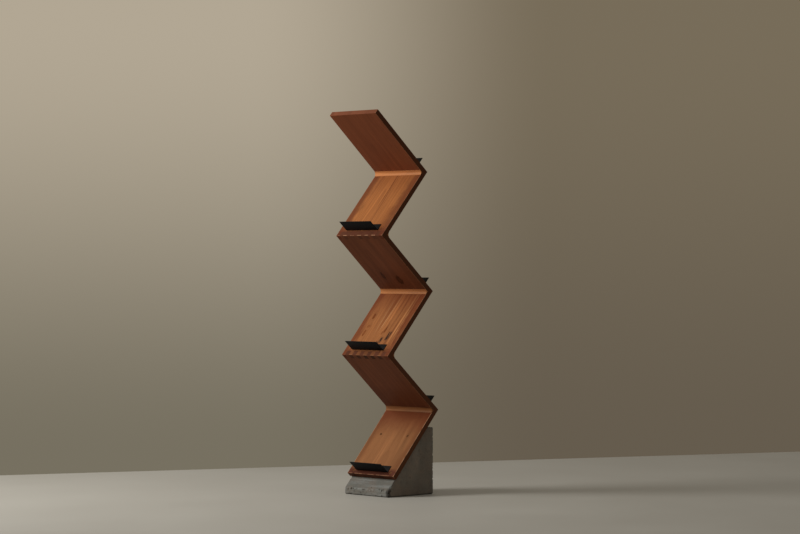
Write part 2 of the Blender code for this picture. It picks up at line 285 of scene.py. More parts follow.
class Paint(Graph):
    """The node tree of one material, round one Principled shader."""

    def __init__(self, name: str) -> None:
        """Start a material.

        Args:
            name: the material's name.
        """
        self.material = bpy.data.materials.new(name)
        self.material.use_nodes = True
        super().__init__(self.material.node_tree)
        self.shader = self.tree.nodes["Principled BSDF"]

    def place(self, matrix: Matrix = SHELF_FRAME, units: float = MILLIMETRES) -> Sock:
        """Object coordinates turned into a piece's own frame.

        Args:
            matrix: where the piece's own frame stands, or the shelf's.
            units: how many of the new units make a metre.

        Returns:
            The place as a vector.
        """
        inverse = matrix.inverted()
        sockets = {
            "Vector": self.node("ShaderNodeTexCoord").out("Object"),
            "Location": tuple(inverse.translation * units),
            "Rotation": tuple(inverse.to_euler("XYZ")),
            "Scale": (units, units, units),
        }
        return self.node("ShaderNodeMapping", {"vector_type": "POINT"}, sockets)

    def times(self, colour: Value, value: Value) -> Sock:
        """A colour times a value."""
        return self.mix(1.0, colour, value, "MULTIPLY")

    def bump(self, height: Sock, depth: float, strength: float) -> Sock:
        """A relief of that depth in metres."""
        return self.node("ShaderNodeBump", None, {"Height": height, "Distance": depth, "Strength": strength})

    def dress(self, **sockets: Value) -> bpy.types.Material:
        """Feed the shader's sockets.

        Args:
            sockets: a value or a link for each, named with _ for spaces.

        Returns:
            The finished material.
        """
        for name, value in sockets.items():
            self.feed(find_socket(self.shader.inputs, name.replace("_", " ")), value)
        return self.material


class Form(Graph):
    """A Geometry Nodes tree with named sizes."""

    SOCKET_KINDS = {float: "NodeSocketFloat", int: "NodeSocketInt", bpy.types.Object: "NodeSocketObject"}
    SKIN_BAND = 4
    SKIN_THRESHOLD = 0.1

    def __init__(self, name: str, sizes: dict[str, Any]) -> None:
        """Start a tree.

        Args:
            name: what it makes.
            sizes: its named inputs with values of their kind.
        """
        super().__init__(bpy.data.node_groups.new(name, "GeometryNodeTree"))
        sides = self.tree.interface
        for way in ("INPUT", "OUTPUT"):
            sides.new_socket("Geometry", in_out=way, socket_type="NodeSocketGeometry")
        self.identifiers: dict[str, str] = {}
        for size, value in sizes.items():
            kind = self.SOCKET_KINDS[type(value)]
            self.identifiers[size] = sides.new_socket(size, in_out="INPUT", socket_type=kind).identifier
        self.entry = self.tree.nodes.new("NodeGroupInput")

    @property
    def entering(self) -> Sock:
        """The geometry that comes in."""
        return Sock(self, self.entry.outputs["Geometry"])

    def sizes(self) -> list[Sock]:
        """The named inputs in order."""
        return [Sock(self, self.entry.outputs[name]) for name in self.identifiers]

    def moved(self, shape: Sock, offset: Value, scale: Value = (1, 1, 1), turn: Value = (0, 0, 0)) -> Sock:
        """A shape that is scaled, turned and moved."""
        sockets = {"Geometry": shape, "Translation": offset, "Rotation": turn, "Scale": scale}
        return self.node("GeometryNodeTransform", None, sockets)

    def raised(self, shape: Sock, height: Value, turn: Value = (0, 0, 0)) -> Sock:
        """A shape that is turned and moved up."""
        return self.moved(shape, self.join(0.0, 0.0, height), turn=turn)

    def block(self, size: Sock) -> Sock:
        """A box of that size."""
        return self.node("GeometryNodeMeshCube", None, {"Size": size})

    def rod(self, radius: Value, depth: Value, middle: Value = 0.0, sides: int = ROUND_SIDES) -> Sock:
        """An upright rod whose middle lies at that height."""
        sockets = {"Vertices": sides, "Radius": radius, "Depth": depth}
        return self.raised(self.node("GeometryNodeMeshCylinder", None, sockets), middle)

    def cone(self, bottom: Value, top: Value, depth: Value, start: Value) -> Sock:
        """An upright cone between two radii, from that height up."""
        sockets = {"Vertices": ROUND_SIDES, "Radius Bottom": bottom, "Radius Top": top, "Depth": depth}
        return self.raised(self.node("GeometryNodeMeshCone", None, sockets), start)

    def row(self, count: Value, start: Value, step: Value) -> Sock:
        """Points in a row along X."""
        sockets = {"Count": count, "Start Location": start, "Offset": self.join(step, 0.0, 0.0)}
        return self.node("GeometryNodeMeshLine", {"mode": "OFFSET"}, sockets)

    def swept(self, path: Sock, section: Sock) -> Sock:
        """A section drawn along a path, with its ends closed."""
        sockets = {"Curve": path, "Profile Curve": section, "Fill Caps": True}
        return self.node("GeometryNodeCurveToMesh", None, sockets)

    def joined(self, *shapes: Sock) -> Sock:
        """Shapes that stay separate bodies."""
        return self.node("GeometryNodeJoinGeometry", None, {"Geometry": list(shapes)})

    def real(self, shape: Sock) -> Sock:
        """A shape whose instances are made real meshes."""
        return self.node("GeometryNodeRealizeInstances", None, {0: shape})

    def copies(self, shape: Sock, points: Sock, **sockets: Value) -> Sock:
        """A shape set on points, as real meshes."""
        sockets = {"Points": points, "Instance": shape, **sockets}
        return self.real(self.node("GeometryNodeInstanceOnPoints", None, sockets))

    def draw(self, seed: int) -> Sock:
        """A random value between 0 and 1 for each point."""
        sockets = {"Min": 0.0, "Max": 1.0, "Seed": seed}
        return self.node("FunctionNodeRandomValue", {"data_type": "FLOAT"}, sockets)

    def cut(self, shape: Sock, cutters: list[Sock], solver: str = "EXACT") -> Sock:
        """A shape less its cutters."""
        settings = {"operation": "DIFFERENCE", "solver": solver}
        return self.node("GeometryNodeMeshBoolean", settings, {"Mesh 1": shape, "Mesh 2": cutters})

    def skin(self, voxel: float, *shapes: Sock) -> Sock:
        """One closed skin round shapes that overlap.

        Args:
            voxel: how fine it is.
            shapes: what it goes round.

        Returns:
            The skin.
        """
        steps = {"resolution_mode": "VOXEL_SIZE"}
        band = self.SKIN_BAND * voxel
        sockets = {"Mesh": self.joined(*shapes), "Voxel Size": voxel, "Interior Band Width": band}
        solid = self.node("GeometryNodeMeshToVolume", steps, sockets)
        sockets = {"Volume": solid, "Voxel Size": voxel, "Threshold": self.SKIN_THRESHOLD}
        return self.node("GeometryNodeVolumeToMesh", steps, sockets)

    def finish(self, shape: Sock, material: bpy.types.Material | None = None) -> Form:
        """End the tree with real meshes in a material.

        Args:
            shape: what the tree has made.
            material: its finish, or none where the piece is dressed later.

        Returns:
            This tree.
        """
        sockets = {"Geometry": self.real(shape), "Material": material}
        painted = self.node("GeometryNodeSetMaterial", None, sockets)
        leave = self.tree.nodes.new("NodeGroupOutput")
        self.tree.links.new(painted.socket, leave.inputs[0])
        return self


Run = tuple[Form, dict[str, Any]]


def grown_mesh(
    name: str,
    base: bpy.types.Mesh,
    runs: Iterable[Run] = (),
    ease: float = 0.0,
    voxel: float = 0.0,
) -> bpy.types.Mesh:
    """Run a mesh through Geometry Nodes trees and make the result a plain mesh.

    Args:
        name: the new mesh's name.
        base: the mesh that goes in.
        runs: each tree with the values of its named sizes.
        ease: a small bevel on the sharp edges afterwards, or 0.
        voxel: a remesh of that size beforehand, or 0.

    Returns:
        The new mesh.
    """
    helper = bpy.data.objects.new(name, base)
    bpy.context.scene.collection.objects.link(helper)
    if voxel:
        remesh = helper.modifiers.new("Even mesh", "REMESH")
        remesh.mode = "VOXEL"
        remesh.voxel_size = voxel
    for form, values in runs:
        modifier = helper.modifiers.new(form.tree.name, "NODES")
        modifier.node_group = form.tree
        for size, value in values.items():
            modifier[form.identifiers[size]] = value
    if ease:
        bevel = helper.modifiers.new("Eased edges", "BEVEL")
        bevel.width = ease
        bevel.segments = EASE_STEPS
        bevel.limit_method = "ANGLE"
    graph = bpy.context.evaluated_depsgraph_get()
    mesh = bpy.data.meshes.new_from_object(helper.evaluated_get(graph), depsgraph=graph)
    bpy.data.objects.remove(helper, do_unlink=True)
    mesh.name = name
    return mesh


# Meshes and pieces


def mesh_from(name: str, build: Callable[[bmesh.types.BMesh], None]) -> bpy.types.Mesh:
    """A mesh filled by a function that works on a bmesh.

    Args:
        name: the mesh's name.
        build: the function.

    Returns:
        The mesh.
    """
    mesh = bpy.data.meshes.new(name)
    shape = bmesh.new()
    build(shape)
    shape.to_mesh(mesh)
    shape.free()
    return mesh


def lines_mesh(name: str, points: Iterable[Iterable[float]], edges: list[tuple[int, ...]]) -> bpy.types.Mesh:
    """A mesh of points and edges alone.

    Args:
        name: the mesh's name.
        points: its points.
        edges: the points that each edge joins.

    Returns:
        The mesh.
    """
    mesh = bpy.data.meshes.new(name)
    mesh.from_pydata([tuple(point) for point in points], edges, [])
    return mesh


def extruded(shape: bmesh.types.BMesh, outline: list[Pair], width: float) -> None:
    """Add a (Y, Z) outline, extruded along X to both sides of X = 0.

    Args:
        shape: the bmesh that takes it.
        outline: its corners in order.
        width: its length along X.
    """
    corners = [shape.verts.new((-width / 2, y, z)) for y, z in outline]
    start = shape.faces.new(corners)
    made = bmesh.ops.extrude_face_region(shape, geom=[start])["geom"]
    moved = [g for g in made if isinstance(g, bmesh.types.BMVert)]
    bmesh.ops.translate(shape, verts=moved, vec=(width, 0, 0))
    bmesh.ops.recalc_face_normals(shape, faces=shape.faces)


def arc(centre: Pair, radius: float, start: float, end: float, steps: int) -> list[Pair]:
    """Points on an arc.

    Args:
        centre: its middle.
        radius: its radius.
        start: its first angle in degrees.
        end: its last angle in degrees.
        steps: how many straight steps it takes.

    Returns:
        The points in order.
    """
    angles = [math.radians(start + (end - start) * i / steps) for i in range(steps + 1)]
    return [(centre[0] + radius * math.cos(a), centre[1] + radius * math.sin(a)) for a in angles]


def shade(mesh: bpy.types.Mesh, flats_stay: bool = False) -> None:
    """Shade a mesh smooth, with its sharp edges kept.

    Args:
        mesh: the mesh.
        flats_stay: leave the faces that lie square to the mesh's axes flat.
    """
    mesh.shade_smooth()
    mesh.set_sharp_from_angle(angle=SMOOTH_ANGLE)
    if flats_stay:
        for face in mesh.polygons:
            face.use_smooth = max(abs(part) for part in face.normal) < SQUARE_NORMAL


def add_piece(
    name: str,
    mesh: bpy.types.Mesh,
    material: bpy.types.Material,
    nodes: Iterable[str],
) -> None:
    """Put a finished mesh in the scene as a piece that stands for solids.

    Args:
        name: the piece's name.
        mesh: its mesh, already in place.
        material: its finish.
        nodes: the solids it stands for.
    """
    mesh.materials.clear()
    mesh.materials.append(material)
    mesh.polygons.foreach_set("material_index", [0] * len(mesh.polygons))
    mesh.update()
    piece = bpy.data.objects.new(name, mesh)
    bpy.context.scene.collection.objects.link(piece)
    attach(piece, BODY)
    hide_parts(*nodes)
    LOG.info("%s: %d faces", name, len(mesh.polygons))


# Sizes and places of the shelf


class Side(Enum):
    """Which way a board leans: front boards rise to the back, rear boards to the front."""

    FRONT = "front"
    REAR = "rear"


@dataclass(frozen=True)
class BoardPlace:
    """Where one board stands, its length, and how far up it its ledge is folded."""

    side: Side
    level: int
    matrix: Matrix
    length: float
    ledge_margin: float
    jointed_below: bool
    jointed_above: bool

    def named(self, kind: str) -> str:
        """The name of a solid of this board, such as its ledge."""
        return f"{self.side.value}_{kind}_{self.level}"


@dataclass(frozen=True)
class Zigzag:
    """The sizes that the pieces share, and the boards' places.

    Each pair of anchor bolts is given by how far apart they are and how far up the lowest board.
    """

    board_count: int = 6
    board_width: float = 0.280
    board_length: float = 0.376
    top_board_extra: float = 0.006
    board_thickness: float = 0.022
    board_slope: float = math.radians(48.7)
    board_setback: float = 0.0585
    front_fingers: int = 7
    foot_depth: float = 0.265
    foot_front_height: float = 0.028
    lowest_ledge_margin: float = 0.018
    front_ledge_margin: float = 0.0285
    rear_ledge_margin: float = 0.021
    top_ledge_margin: float = 0.028
    ledge_screw_spacing: float = 0.120
    ledge_screw_height: float = 0.0185
    bolt_pairs: tuple[Pair, ...] = ((0.220, 0.0175), (0.162, 0.2129))
    clearance: float = 0.0003

    @property
    def board_step(self) -> float:
        """How far one board's joint lies from the next."""
        return self.board_length - self.board_thickness

    @property
    def column_width(self) -> float:
        """The width of one finger."""
        return self.board_width / (2 * self.front_fingers - 1)

    @property
    def slope(self) -> Matrix:
        """The frame of the foot's sloping top, from its front edge up."""
        start = Vector((0, -self.foot_depth / 2, self.foot_front_height))
        return Matrix.Translation(start) @ Matrix.Rotation(self.board_slope, 4, "X")

    def boards(self) -> list[BoardPlace]:
        """The boards from the lowest up.

        Returns:
            The place of each board.
        """
        places = []
        for index in range(self.board_count):
            level, is_rear = divmod(index, 2)
            is_top = index == self.board_count - 1
            rise = level * self.board_step
            setback = self.board_setback + rise + is_rear * self.board_step
            start = Vector((0, setback, self.clearance + rise))
            turn = Euler((math.radians(90), 0, math.radians(180))) if is_rear else Euler((0, 0, 0))
            places.append(BoardPlace(
                side=Side.REAR if is_rear else Side.FRONT,
                level=level + 1,
                matrix=self.slope @ Matrix.Translation(start) @ turn.to_matrix().to_4x4(),
                length=self.board_length + (self.top_board_extra if is_top else 0.0),
                ledge_margin=self.ledge_margin(index),
                jointed_below=index > 0,
                jointed_above=not is_top,
            ))
        return places

    def ledge_margin(self, index: int) -> float:
        """How far above its board's lower end a ledge is folded.

        Args:
            index: the board's number, from 0 at the lowest.

        Returns:
            The distance along the board.
        """
        if index == 0:
            return self.lowest_ledge_margin
        if index == self.board_count - 1:
            return self.top_ledge_margin
        return self.rear_ledge_margin if index % 2 else self.front_ledge_margin


# Finishes


@dataclass(frozen=True)
class Knot:
    """A knot in a board's face; millimetres."""

    x: float
    along: float
    half_width: float
    half_length: float
    darkness: float = 0.9


@dataclass(frozen=True)
class Streak:
    """A lengthwise mark in a board's face, dark as resin unless it has a colour; millimetres."""

    x: float
    start: float
    end: float
    half_width: float
    lean: float = 0.0
    darkness: float = 0.5
    sway: float = 1.0
    colour: Colour | None = None


@dataclass(frozen=True)
class Figure:
    """How the grain of one board looks; millimetres in the board's own frame.

    Strengths lie between 0 and 1. Stripes are strong on the right of stripe_from.
    """

    early: Colour
    late: Colour
    ring_width: float = 5.0
    contrast: float = 0.4
    stripe: float = 0.4
    stripe_width: float = 18.0
    stripe_from: float = -400.0
    flecks: float = 0.15
    blush: float = 0.0
    # How much darker and redder the face grows towards its lower end
    darker_end: float = 0.0
    # Painted shade towards the upper end, where the board above shades the face
    upper_painted_shade: float = 0.0
    # Pale arrises: partly wear, partly a painted highlight
    rubbed_and_highlit: float = 0.35
    rubbed_and_highlit_end: float = 0.0
    end_tone: float = 1.0
    heart_x: float = 0.0
    heart_depth: float = 60.0
    taper: float = 0.03
    drift: float = 6.0
    stave_width: float = 400.0
    stave_shift: float = 200.0
    stave_spread: float = 0.0
    seed: float = 0.0
    knot_colour: Colour = (0.05, 0.014, 0.005)
    knots: tuple[Knot, ...] = ()
    streaks: tuple[Streak, ...] = ()

    @property
    def stripe_waves(self) -> Waves:
        """The noise of the stripes, drawn out along the grain."""
        across = 1.0 / self.stripe_width
        return Waves((across, 0.0021, across), layers=2.5, strength=0.62)


@dataclass(frozen=True)
class OiledPine:
    """Oiled pine: growth rings round a heart line, glued staves, stripes, marks, darker ends, painted shade
    towards the upper ends and on the sawn sides, and pale arrises that are partly a painted highlight.

    Lengths are in millimetres, and a pair of numbers is where a soft step starts and ends.
    """

    zigzag: Zigzag
    roughness: float = 0.55
    gloss: float = 0.05
    relief_depth: float = 0.00012
    relief_strength: float = 0.6

    # Staves and growth rings
    stave_apart: tuple[float, float, float] = (900.0, 900.0, 300.0)
    heart_spread: float = 80.0
    drift_waves: Waves = Waves((0.011, 0.0028, 0.011), 1.5)
    ring_waves: Waves = Waves((0.05, 50.0, 1.0), 1.0)
    ring_wander: float = 12.0
    late_start: Pair = (0.2, 0.88)
    late_stop: Pair = (1.0, 0.9)
    late_least: float = 0.45
    late_cloud: float = 0.8

    # Tone, fibres, pores, stripes and flecks
    tone_least: float = 0.78
    tone_fibre: float = 0.24
    tone_cloud: float = 0.26
    fibre_waves: Waves = Waves((1.1, 0.022, 1.1), 3.0, 0.6)
    cloud_waves: Waves = Waves((0.03, 0.006, 0.03))
    pore_waves: Waves = Waves((2.6, 0.09, 2.6), 1.0)
    pore_step: Pair = (0.63, 0.74)
    pore_darkness: float = 0.22
    stripe_fade: float = 45.0
    dark_stripe: Pair = (0.52, 0.64)
    pale_stripe: Pair = (0.46, 0.34)
    pale_gain: float = 0.65
    fleck_waves: Waves = Waves((0.09, 0.014, 0.09), 1.0)
    fleck_step: Pair = (0.66, 0.76)

    # Knots, in shares of their own size, and streaks
    knot_waves: Waves = Waves((0.14, 0.06, 0.14))
    knot_wander: float = 1.1
    knot_bend: float = 0.75
    knot_bend_step: Pair = (3.4, 0.8)
    knot_rim: Pair = (1.2, 0.7)
    knot_heart: Pair = (0.3, 0.7)
    knot_heart_tone: float = 0.7
    sway_waves: Waves = Waves((0.05, 0.016, 0.05))
    sway_width: float = 4.0
    break_waves: Waves = Waves((0.2, 0.03, 0.2))
    break_step: Pair = (0.55, 0.35)
    streak_core: float = 0.3
    streak_fade: float = 0.25
    streak_colour: Colour = (0.022, 0.012, 0.009)

    # Darker lower ends, painted shade towards the upper ends, and cut ends, from the end inwards
    end_waves: Waves = Waves((0.04, 0.04, 0.04))
    # Darker and redder towards the lower end
    darker_end_wander: float = 16.0
    darker_end_step: Pair = (44.0, 20.0)
    darker_end_colour: Colour = (0.0905, 0.027, 0.0145)
    # Painted shade towards the upper end
    upper_shade_wander: float = 32.0
    upper_shade_step: Pair = (190.0, 30.0)
    cut_step: Pair = (0.7, 0.2)
    end_share: float = 0.9
    end_spread: float = 0.3
    end_colour: Colour = (0.175, 0.058, 0.028)
    lower_end_tone: float = 0.42
    jointed_end_tone: float = 0.62
    free_end_tone: float = 1.0

    # Painted shade on the sides, and pale arrises that are partly wear and partly a painted highlight, from
    # the edge inwards
    blush_waves: Waves = Waves((0.03, 0.012, 0.03), 3.0)
    blush_wander: float = 70.0
    blush_step: Pair = (48.0, 12.0)
    # Reddish colour of the long edges, also used for the painted shade at the upper end
    blush_and_shade_colour: Colour = (0.153, 0.0355, 0.0127)
    # Painted shade on the sawn sides
    side_shade_share: float = 0.7
    side_shade_tone: float = 0.5
    side_shade_colour: Colour = (0.118, 0.045, 0.022)
    # Pale arrises: partly wear, partly a painted highlight
    worn_and_highlight_colour: Colour = (0.46, 0.24, 0.13)
    side_arris: tuple[Pair, Pair] = ((4.0, 2.0), (0.3, 0.8))
    side_wear_waves: Waves = Waves((0.05, 0.03, 0.05), 3.0)
    side_wear_step: Pair = (0.3, 0.6)
    end_arris: tuple[Pair, Pair] = ((4.5, 2.5), (0.3, 1.0))
    end_wear_waves: Waves = Waves((0.045, 0.045, 0.045))
    end_wear_step: Pair = (0.4, 0.55)

    @property
    def half_width(self) -> float:
        """Half a board's width in millimetres."""
        return self.zigzag.board_width / 2 * MILLIMETRES

    def material(self, name: str, figure: Figure, board: BoardPlace) -> bpy.types.Material:
        """The finish of one board.

        Args:
            name: the material's name.
            figure: its grain.
            board: where the board stands.

        Returns:
            The material.
        """
        paint = Paint(name)
        place = paint.place(board.matrix)
        x, along, depth = paint.split(place)
        stave = paint.chance(((x + figure.stave_shift) / figure.stave_width).floor() + figure.seed)
        shift_x, shift_depth, shift_along = paint.split(stave.out("Color"))
        apart_x, apart_along, apart_depth = self.stave_apart
        own_place = paint.vector("ADD", place, paint.join(
            (shift_x - 0.5) * apart_x,
            (shift_along - 0.5) * apart_along,
            shift_depth * apart_depth + figure.seed,
        ))

        bend, knots = self._knots(x, along, paint.noise(place, self.knot_waves), figure)
        drift = paint.swing(own_place, self.drift_waves, 2 * figure.drift)
        face = self.zigzag.board_thickness * MILLIMETRES if board.side is Side.FRONT else 0.0
        across = x - figure.heart_x - (shift_x - 0.5) * self.heart_spread - bend
        under = depth - face + (shift_depth + 0.5) * figure.heart_depth
        radius = (across * across + under * under).root() + along * figure.taper + drift
        uneven = paint.swing(paint.join(radius, shift_x, 0.0), self.ring_waves, self.ring_wander)
        late = ((radius + uneven) / figure.ring_width).fraction().ridge(self.late_start, self.late_stop)

        fibre = paint.noise(own_place, self.fibre_waves)
        cloud = paint.noise(own_place, self.cloud_waves)
        pores = paint.noise(own_place, self.pore_waves).rise(*self.pore_step)
        bent = paint.vector("ADD", own_place, paint.join(drift - bend, 0.0, 0.0))
        stripes = paint.noise(bent, figure.stripe_waves)
        strength = (x - figure.stripe_from).rise(-self.stripe_fade, self.stripe_fade) * figure.stripe
        dark = late * figure.contrast * (self.late_least + cloud * self.late_cloud)
        dark = (dark + stripes.rise(*self.dark_stripe) * strength).math("MINIMUM", 1.0)
        wood = paint.mix(dark, figure.early, figure.late)
        tone = 1.0 + (stave - 0.5) * (2 * figure.stave_spread)
        tone = tone * (1.0 + stripes.rise(*self.pale_stripe) * strength * self.pale_gain)
        tone = tone * (self.tone_least + fibre * self.tone_fibre + cloud * self.tone_cloud)
        tone = tone * (1.0 - pores * self.pore_darkness)
        wood = paint.times(wood, tone)

        flecks = paint.noise(bent, self.fleck_waves).rise(*self.fleck_step) * figure.flecks
        wood = paint.mix(flecks, wood, self.streak_colour)
        wood = self._streaks(paint, wood, place, figure)
        wood = paint.mix(knots, wood, figure.knot_colour)
        wood = self._ends(paint, wood, place, figure, board)
        wood = self._edges(paint, wood, place, figure)
        relief = late * 0.35 + fibre * 0.6 - pores * 0.5 - knots * 0.3
        return paint.dress(
            Base_Color=wood,
            Roughness=self.roughness + (fibre - 0.5) * 0.2 + pores * 0.12 - late * 0.05,
            Specular_IOR_Level=self.gloss,
            Normal=paint.bump(relief, self.relief_depth, self.relief_strength),
        )

    def _knots(self, x: Sock, along: Sock, ragged: Sock, figure: Figure) -> tuple[Value, Value]:
        """The knots of a board and how they bend its grain.

        Args:
            x: the place across the board.
            along: the place up the board.
            ragged: a noise that makes the knots uneven.
            figure: the board's grain.

        Returns:
            The bend in millimetres, and the knots' mask between 0 and 1.
        """
        bend: Value = 0.0
        mask: Value = 0.0
        for knot in figure.knots:
            u = (x - knot.x) / knot.half_width
            v = (along - knot.along) / knot.half_length
            far = (u * u + v * v).root()
            bend = bend + (x - knot.x) * far.rise(*self.knot_bend_step) * self.knot_bend
            far = far + (ragged - 0.5) * self.knot_wander
            tone = self.knot_heart_tone + far.rise(*self.knot_heart) * (1.0 - self.knot_heart_tone)
            mask = mask + far.rise(*self.knot_rim) * tone * knot.darkness
        return bend, mask

    def _streaks(self, paint: Paint, wood: Sock, place: Sock, figure: Figure) -> Sock:
        """Lay a board's streaks over its colour.

        Args:
            paint: the material's tree.
            wood: the colour so far.
            place: the place in the board's frame.
            figure: the board's grain.

        Returns:
            The colour with its streaks.
        """
        x, along, _ = paint.split(place)
        wander = paint.swing(place, self.sway_waves, self.sway_width)
        gaps = paint.noise(place, self.break_waves).rise(*self.break_step)
        for streak in figure.streaks:
            sway = wander * (streak.half_width * streak.sway)
            line = x - (along - streak.start) * streak.lean - streak.x + sway
            fade = (streak.end - streak.start) * self.streak_fade
            reach = along.ridge((streak.start, streak.start + fade), (streak.end, streak.end - fade))
            mask = abs(line).rise(streak.half_width, streak.half_width * self.streak_core) * reach
            mask = mask * (1.0 - gaps * streak.sway) * streak.darkness
            wood = paint.mix(mask, wood, streak.colour or self.streak_colour)
        return wood

    def _ends(self, paint: Paint, wood: Sock, place: Sock, figure: Figure, board: BoardPlace) -> Sock:
        """Darken and redden the lower end of a face, paint shade towards its upper end, give the end grain a
        tone of its own for each finger, and make the lower arris pale, partly with wear and partly with a
        painted highlight.

        Args:
            paint: the material's tree.
            wood: the colour so far.
            place: the place in the board's frame.
            figure: the board's grain.
            board: where the board stands.

        Returns:
            The colour with its ends.
        """
        x, from_bottom, _ = paint.split(place)
        from_top = board.length * MILLIMETRES - from_bottom
        finger = ((x + self.half_width) / (self.zigzag.column_width * MILLIMETRES)).floor()
        spread = (paint.chance(finger + figure.seed) - 0.5) * self.end_spread
        wander = paint.noise(place, self.end_waves) - 0.5
        # Darker and redder towards the lower end
        darker_end = (from_bottom + wander * self.darker_end_wander).rise(*self.darker_end_step) * figure.darker_end
        wood = paint.mix(darker_end, wood, paint.times(self.darker_end_colour, 1.0 + spread))
        # Painted shade: darker and redder towards the upper end, where the board above shades the face
        darker_end = (from_top - wander * self.upper_shade_wander).rise(*self.upper_shade_step)
        wood = paint.mix(darker_end * figure.upper_painted_shade, wood, self.blush_and_shade_colour)
        upper_tone = self.jointed_end_tone if board.jointed_above else self.free_end_tone
        for far, tone in ((from_bottom, self.lower_end_tone * figure.end_tone), (from_top, upper_tone)):
            end_grain = paint.times(self.end_colour, tone + spread)
            wood = paint.mix(far.rise(*self.cut_step) * self.end_share, wood, end_grain)
        patchy = paint.noise(place, self.end_wear_waves).rise(*self.end_wear_step)
        # Pale lower arris: partly wear, partly a painted highlight
        wear_and_painted_light = from_bottom.ridge(*self.end_arris) * patchy * figure.rubbed_and_highlit_end
        return paint.mix(wear_and_painted_light, wood, self.worn_and_highlight_colour)

    def _edges(self, paint: Paint, wood: Sock, place: Sock, figure: Figure) -> Sock:
        """Redden the face towards its long edges, paint shade on the sawn sides and make the arrises pale,
        partly with wear and partly with a painted highlight.

        Args:
            paint: the material's tree.
            wood: the colour so far.
            place: the place in the board's frame.
            figure: the board's grain.

        Returns:
            The colour with its edges.
        """
        from_side = self.half_width - abs(paint.split(place)[0])
        shifted = paint.vector("ADD", place, (figure.seed, 0.0, 0.0))
        edge = from_side - paint.swing(shifted, self.blush_waves, self.blush_wander)
        wood = paint.mix(edge.rise(*self.blush_step) * figure.blush, wood, self.blush_and_shade_colour)
        # Painted shade on the sawn sides
        shaded_side = paint.mix(self.side_shade_share, paint.times(wood, self.side_shade_tone), self.side_shade_colour)
        wood = paint.mix(from_side.rise(*self.cut_step), wood, shaded_side)
        patchy = paint.noise(place, self.side_wear_waves).rise(*self.side_wear_step)
        # Pale long arrises: partly wear, partly a painted highlight
        wear_and_painted_light = from_side.ridge(*self.side_arris) * patchy * figure.rubbed_and_highlit
        return paint.mix(wear_and_painted_light, wood, self.worn_and_highlight_colour)


@dataclass(frozen=True)
class CovePine:
    """Paler pine with its grain along the strip; millimetres."""

    early: Colour = (0.44, 0.172, 0.057)
    late: Colour = (0.305, 0.103, 0.032)
    roughness: float = 0.55
    gloss: float = 0.15
    strip_apart: float = 310.0
    line_waves: Waves = Waves((0.004, 0.34, 0.34), 3.0, 0.55)
    line_step: Pair = (0.36, 0.7)
    line_share: float = 0.8
    fibre_waves: Waves = Waves((0.03, 1.7, 1.7))
    cloud_waves: Waves = Waves((0.018, 0.05, 0.05))
    relief_depth: float = 0.0001
    relief_strength: float = 0.5

    def material(self, name: str, matrix: Matrix, seed: float, tone: float) -> bpy.types.Material:
        """The finish of one strip.

        Args:
            name: the material's name.
            matrix: the frame of the board that the strip lies on.
            seed: what sets this strip apart.
            tone: how light it is; it paints light and shade that change with the strip's height.

        Returns:
            The material.
        """
        paint = Paint(name)
        place = paint.vector("ADD", paint.place(matrix), (seed * self.strip_apart, 0.0, 0.0))
        lines = paint.noise(place, self.line_waves)
        fibre = paint.noise(place, self.fibre_waves)
        cloud = paint.noise(place, self.cloud_waves)
        wood = paint.mix(lines.rise(*self.line_step) * self.line_share, self.early, self.late)
        wood = paint.times(wood, (0.78 + fibre * 0.22 + cloud * 0.22) * tone)
        return paint.dress(
            Base_Color=wood,
            Roughness=self.roughness + (fibre - 0.5) * 0.16,
            Specular_IOR_Level=self.gloss,
            Normal=paint.bump(fibre * 0.6 + lines * 0.4, self.relief_depth, self.relief_strength),
        )


@dataclass(frozen=True)
class CoatedSteel:
    """Black powder coat: fine orange peel, dull blotches and a trace of dust; millimetres."""

    coat: Colour = (0.0034, 0.0034, 0.0040)
    dust: Colour = (0.013, 0.013, 0.013)
    roughness: float = 0.55
    gloss: float = 0.1
    peel_waves: Waves = Waves(1.1)
    peel_depth: float = 0.00008
    peel_strength: float = 0.5
    blotch_waves: Waves = Waves(0.035, 3.0, 0.6)
    blotch_step: Pair = (0.45, 0.8)
    speck_waves: Waves = Waves(0.6, 1.0)
    speck_step: Pair = (0.68, 0.76)

    def material(self, name: str) -> bpy.types.Material:
        """The finish of the ledges.

        Args:
            name: the material's name.

        Returns:
            The material.
        """
        paint = Paint(name)
        place = paint.place()
        peel = paint.noise(place, self.peel_waves)
        blotch = paint.noise(place, self.blotch_waves)
        specks = paint.noise(place, self.speck_waves).rise(*self.speck_step)
        dusty = blotch.rise(*self.blotch_step) * 0.22 + specks * 0.12
        return paint.dress(
            Base_Color=paint.mix(dusty, self.coat, self.dust),
            Roughness=self.roughness + (blotch - 0.5) * 0.22 + specks * 0.1,
            Specular_IOR_Level=self.gloss,
            Normal=paint.bump(peel, self.peel_depth, self.peel_strength),
        )


@dataclass(frozen=True)
class FastenerSteel:
    """Bare or blackened steel with rubbed and dull patches; millimetres."""

    bright: Colour
    dull: Colour
    roughness: float = 0.38
    patch_waves: Waves = Waves(0.45, 3.0, 0.6)
    patch_step: Pair = (0.35, 0.65)
    grit_waves: Waves = Waves(3.0, 1.0)
    grit_depth: float = 0.00003
    grit_strength: float = 0.4

    def material(self, name: str) -> bpy.types.Material:
        """The finish of screws, bolts or sockets.

        Args:
            name: the material's name.

        Returns:
            The material.
        """
        paint = Paint(name)
        place = paint.place()
        patch = paint.noise(place, self.patch_waves)
        grit = paint.noise(place, self.grit_waves)
        return paint.dress(
            Base_Color=paint.mix(patch.rise(*self.patch_step), self.bright, self.dull),
            Metallic=1.0,
            Roughness=self.roughness + (patch - 0.5) * 0.3 + (grit - 0.5) * 0.1,
            Normal=paint.bump(grit, self.grit_depth, self.grit_strength),
        )


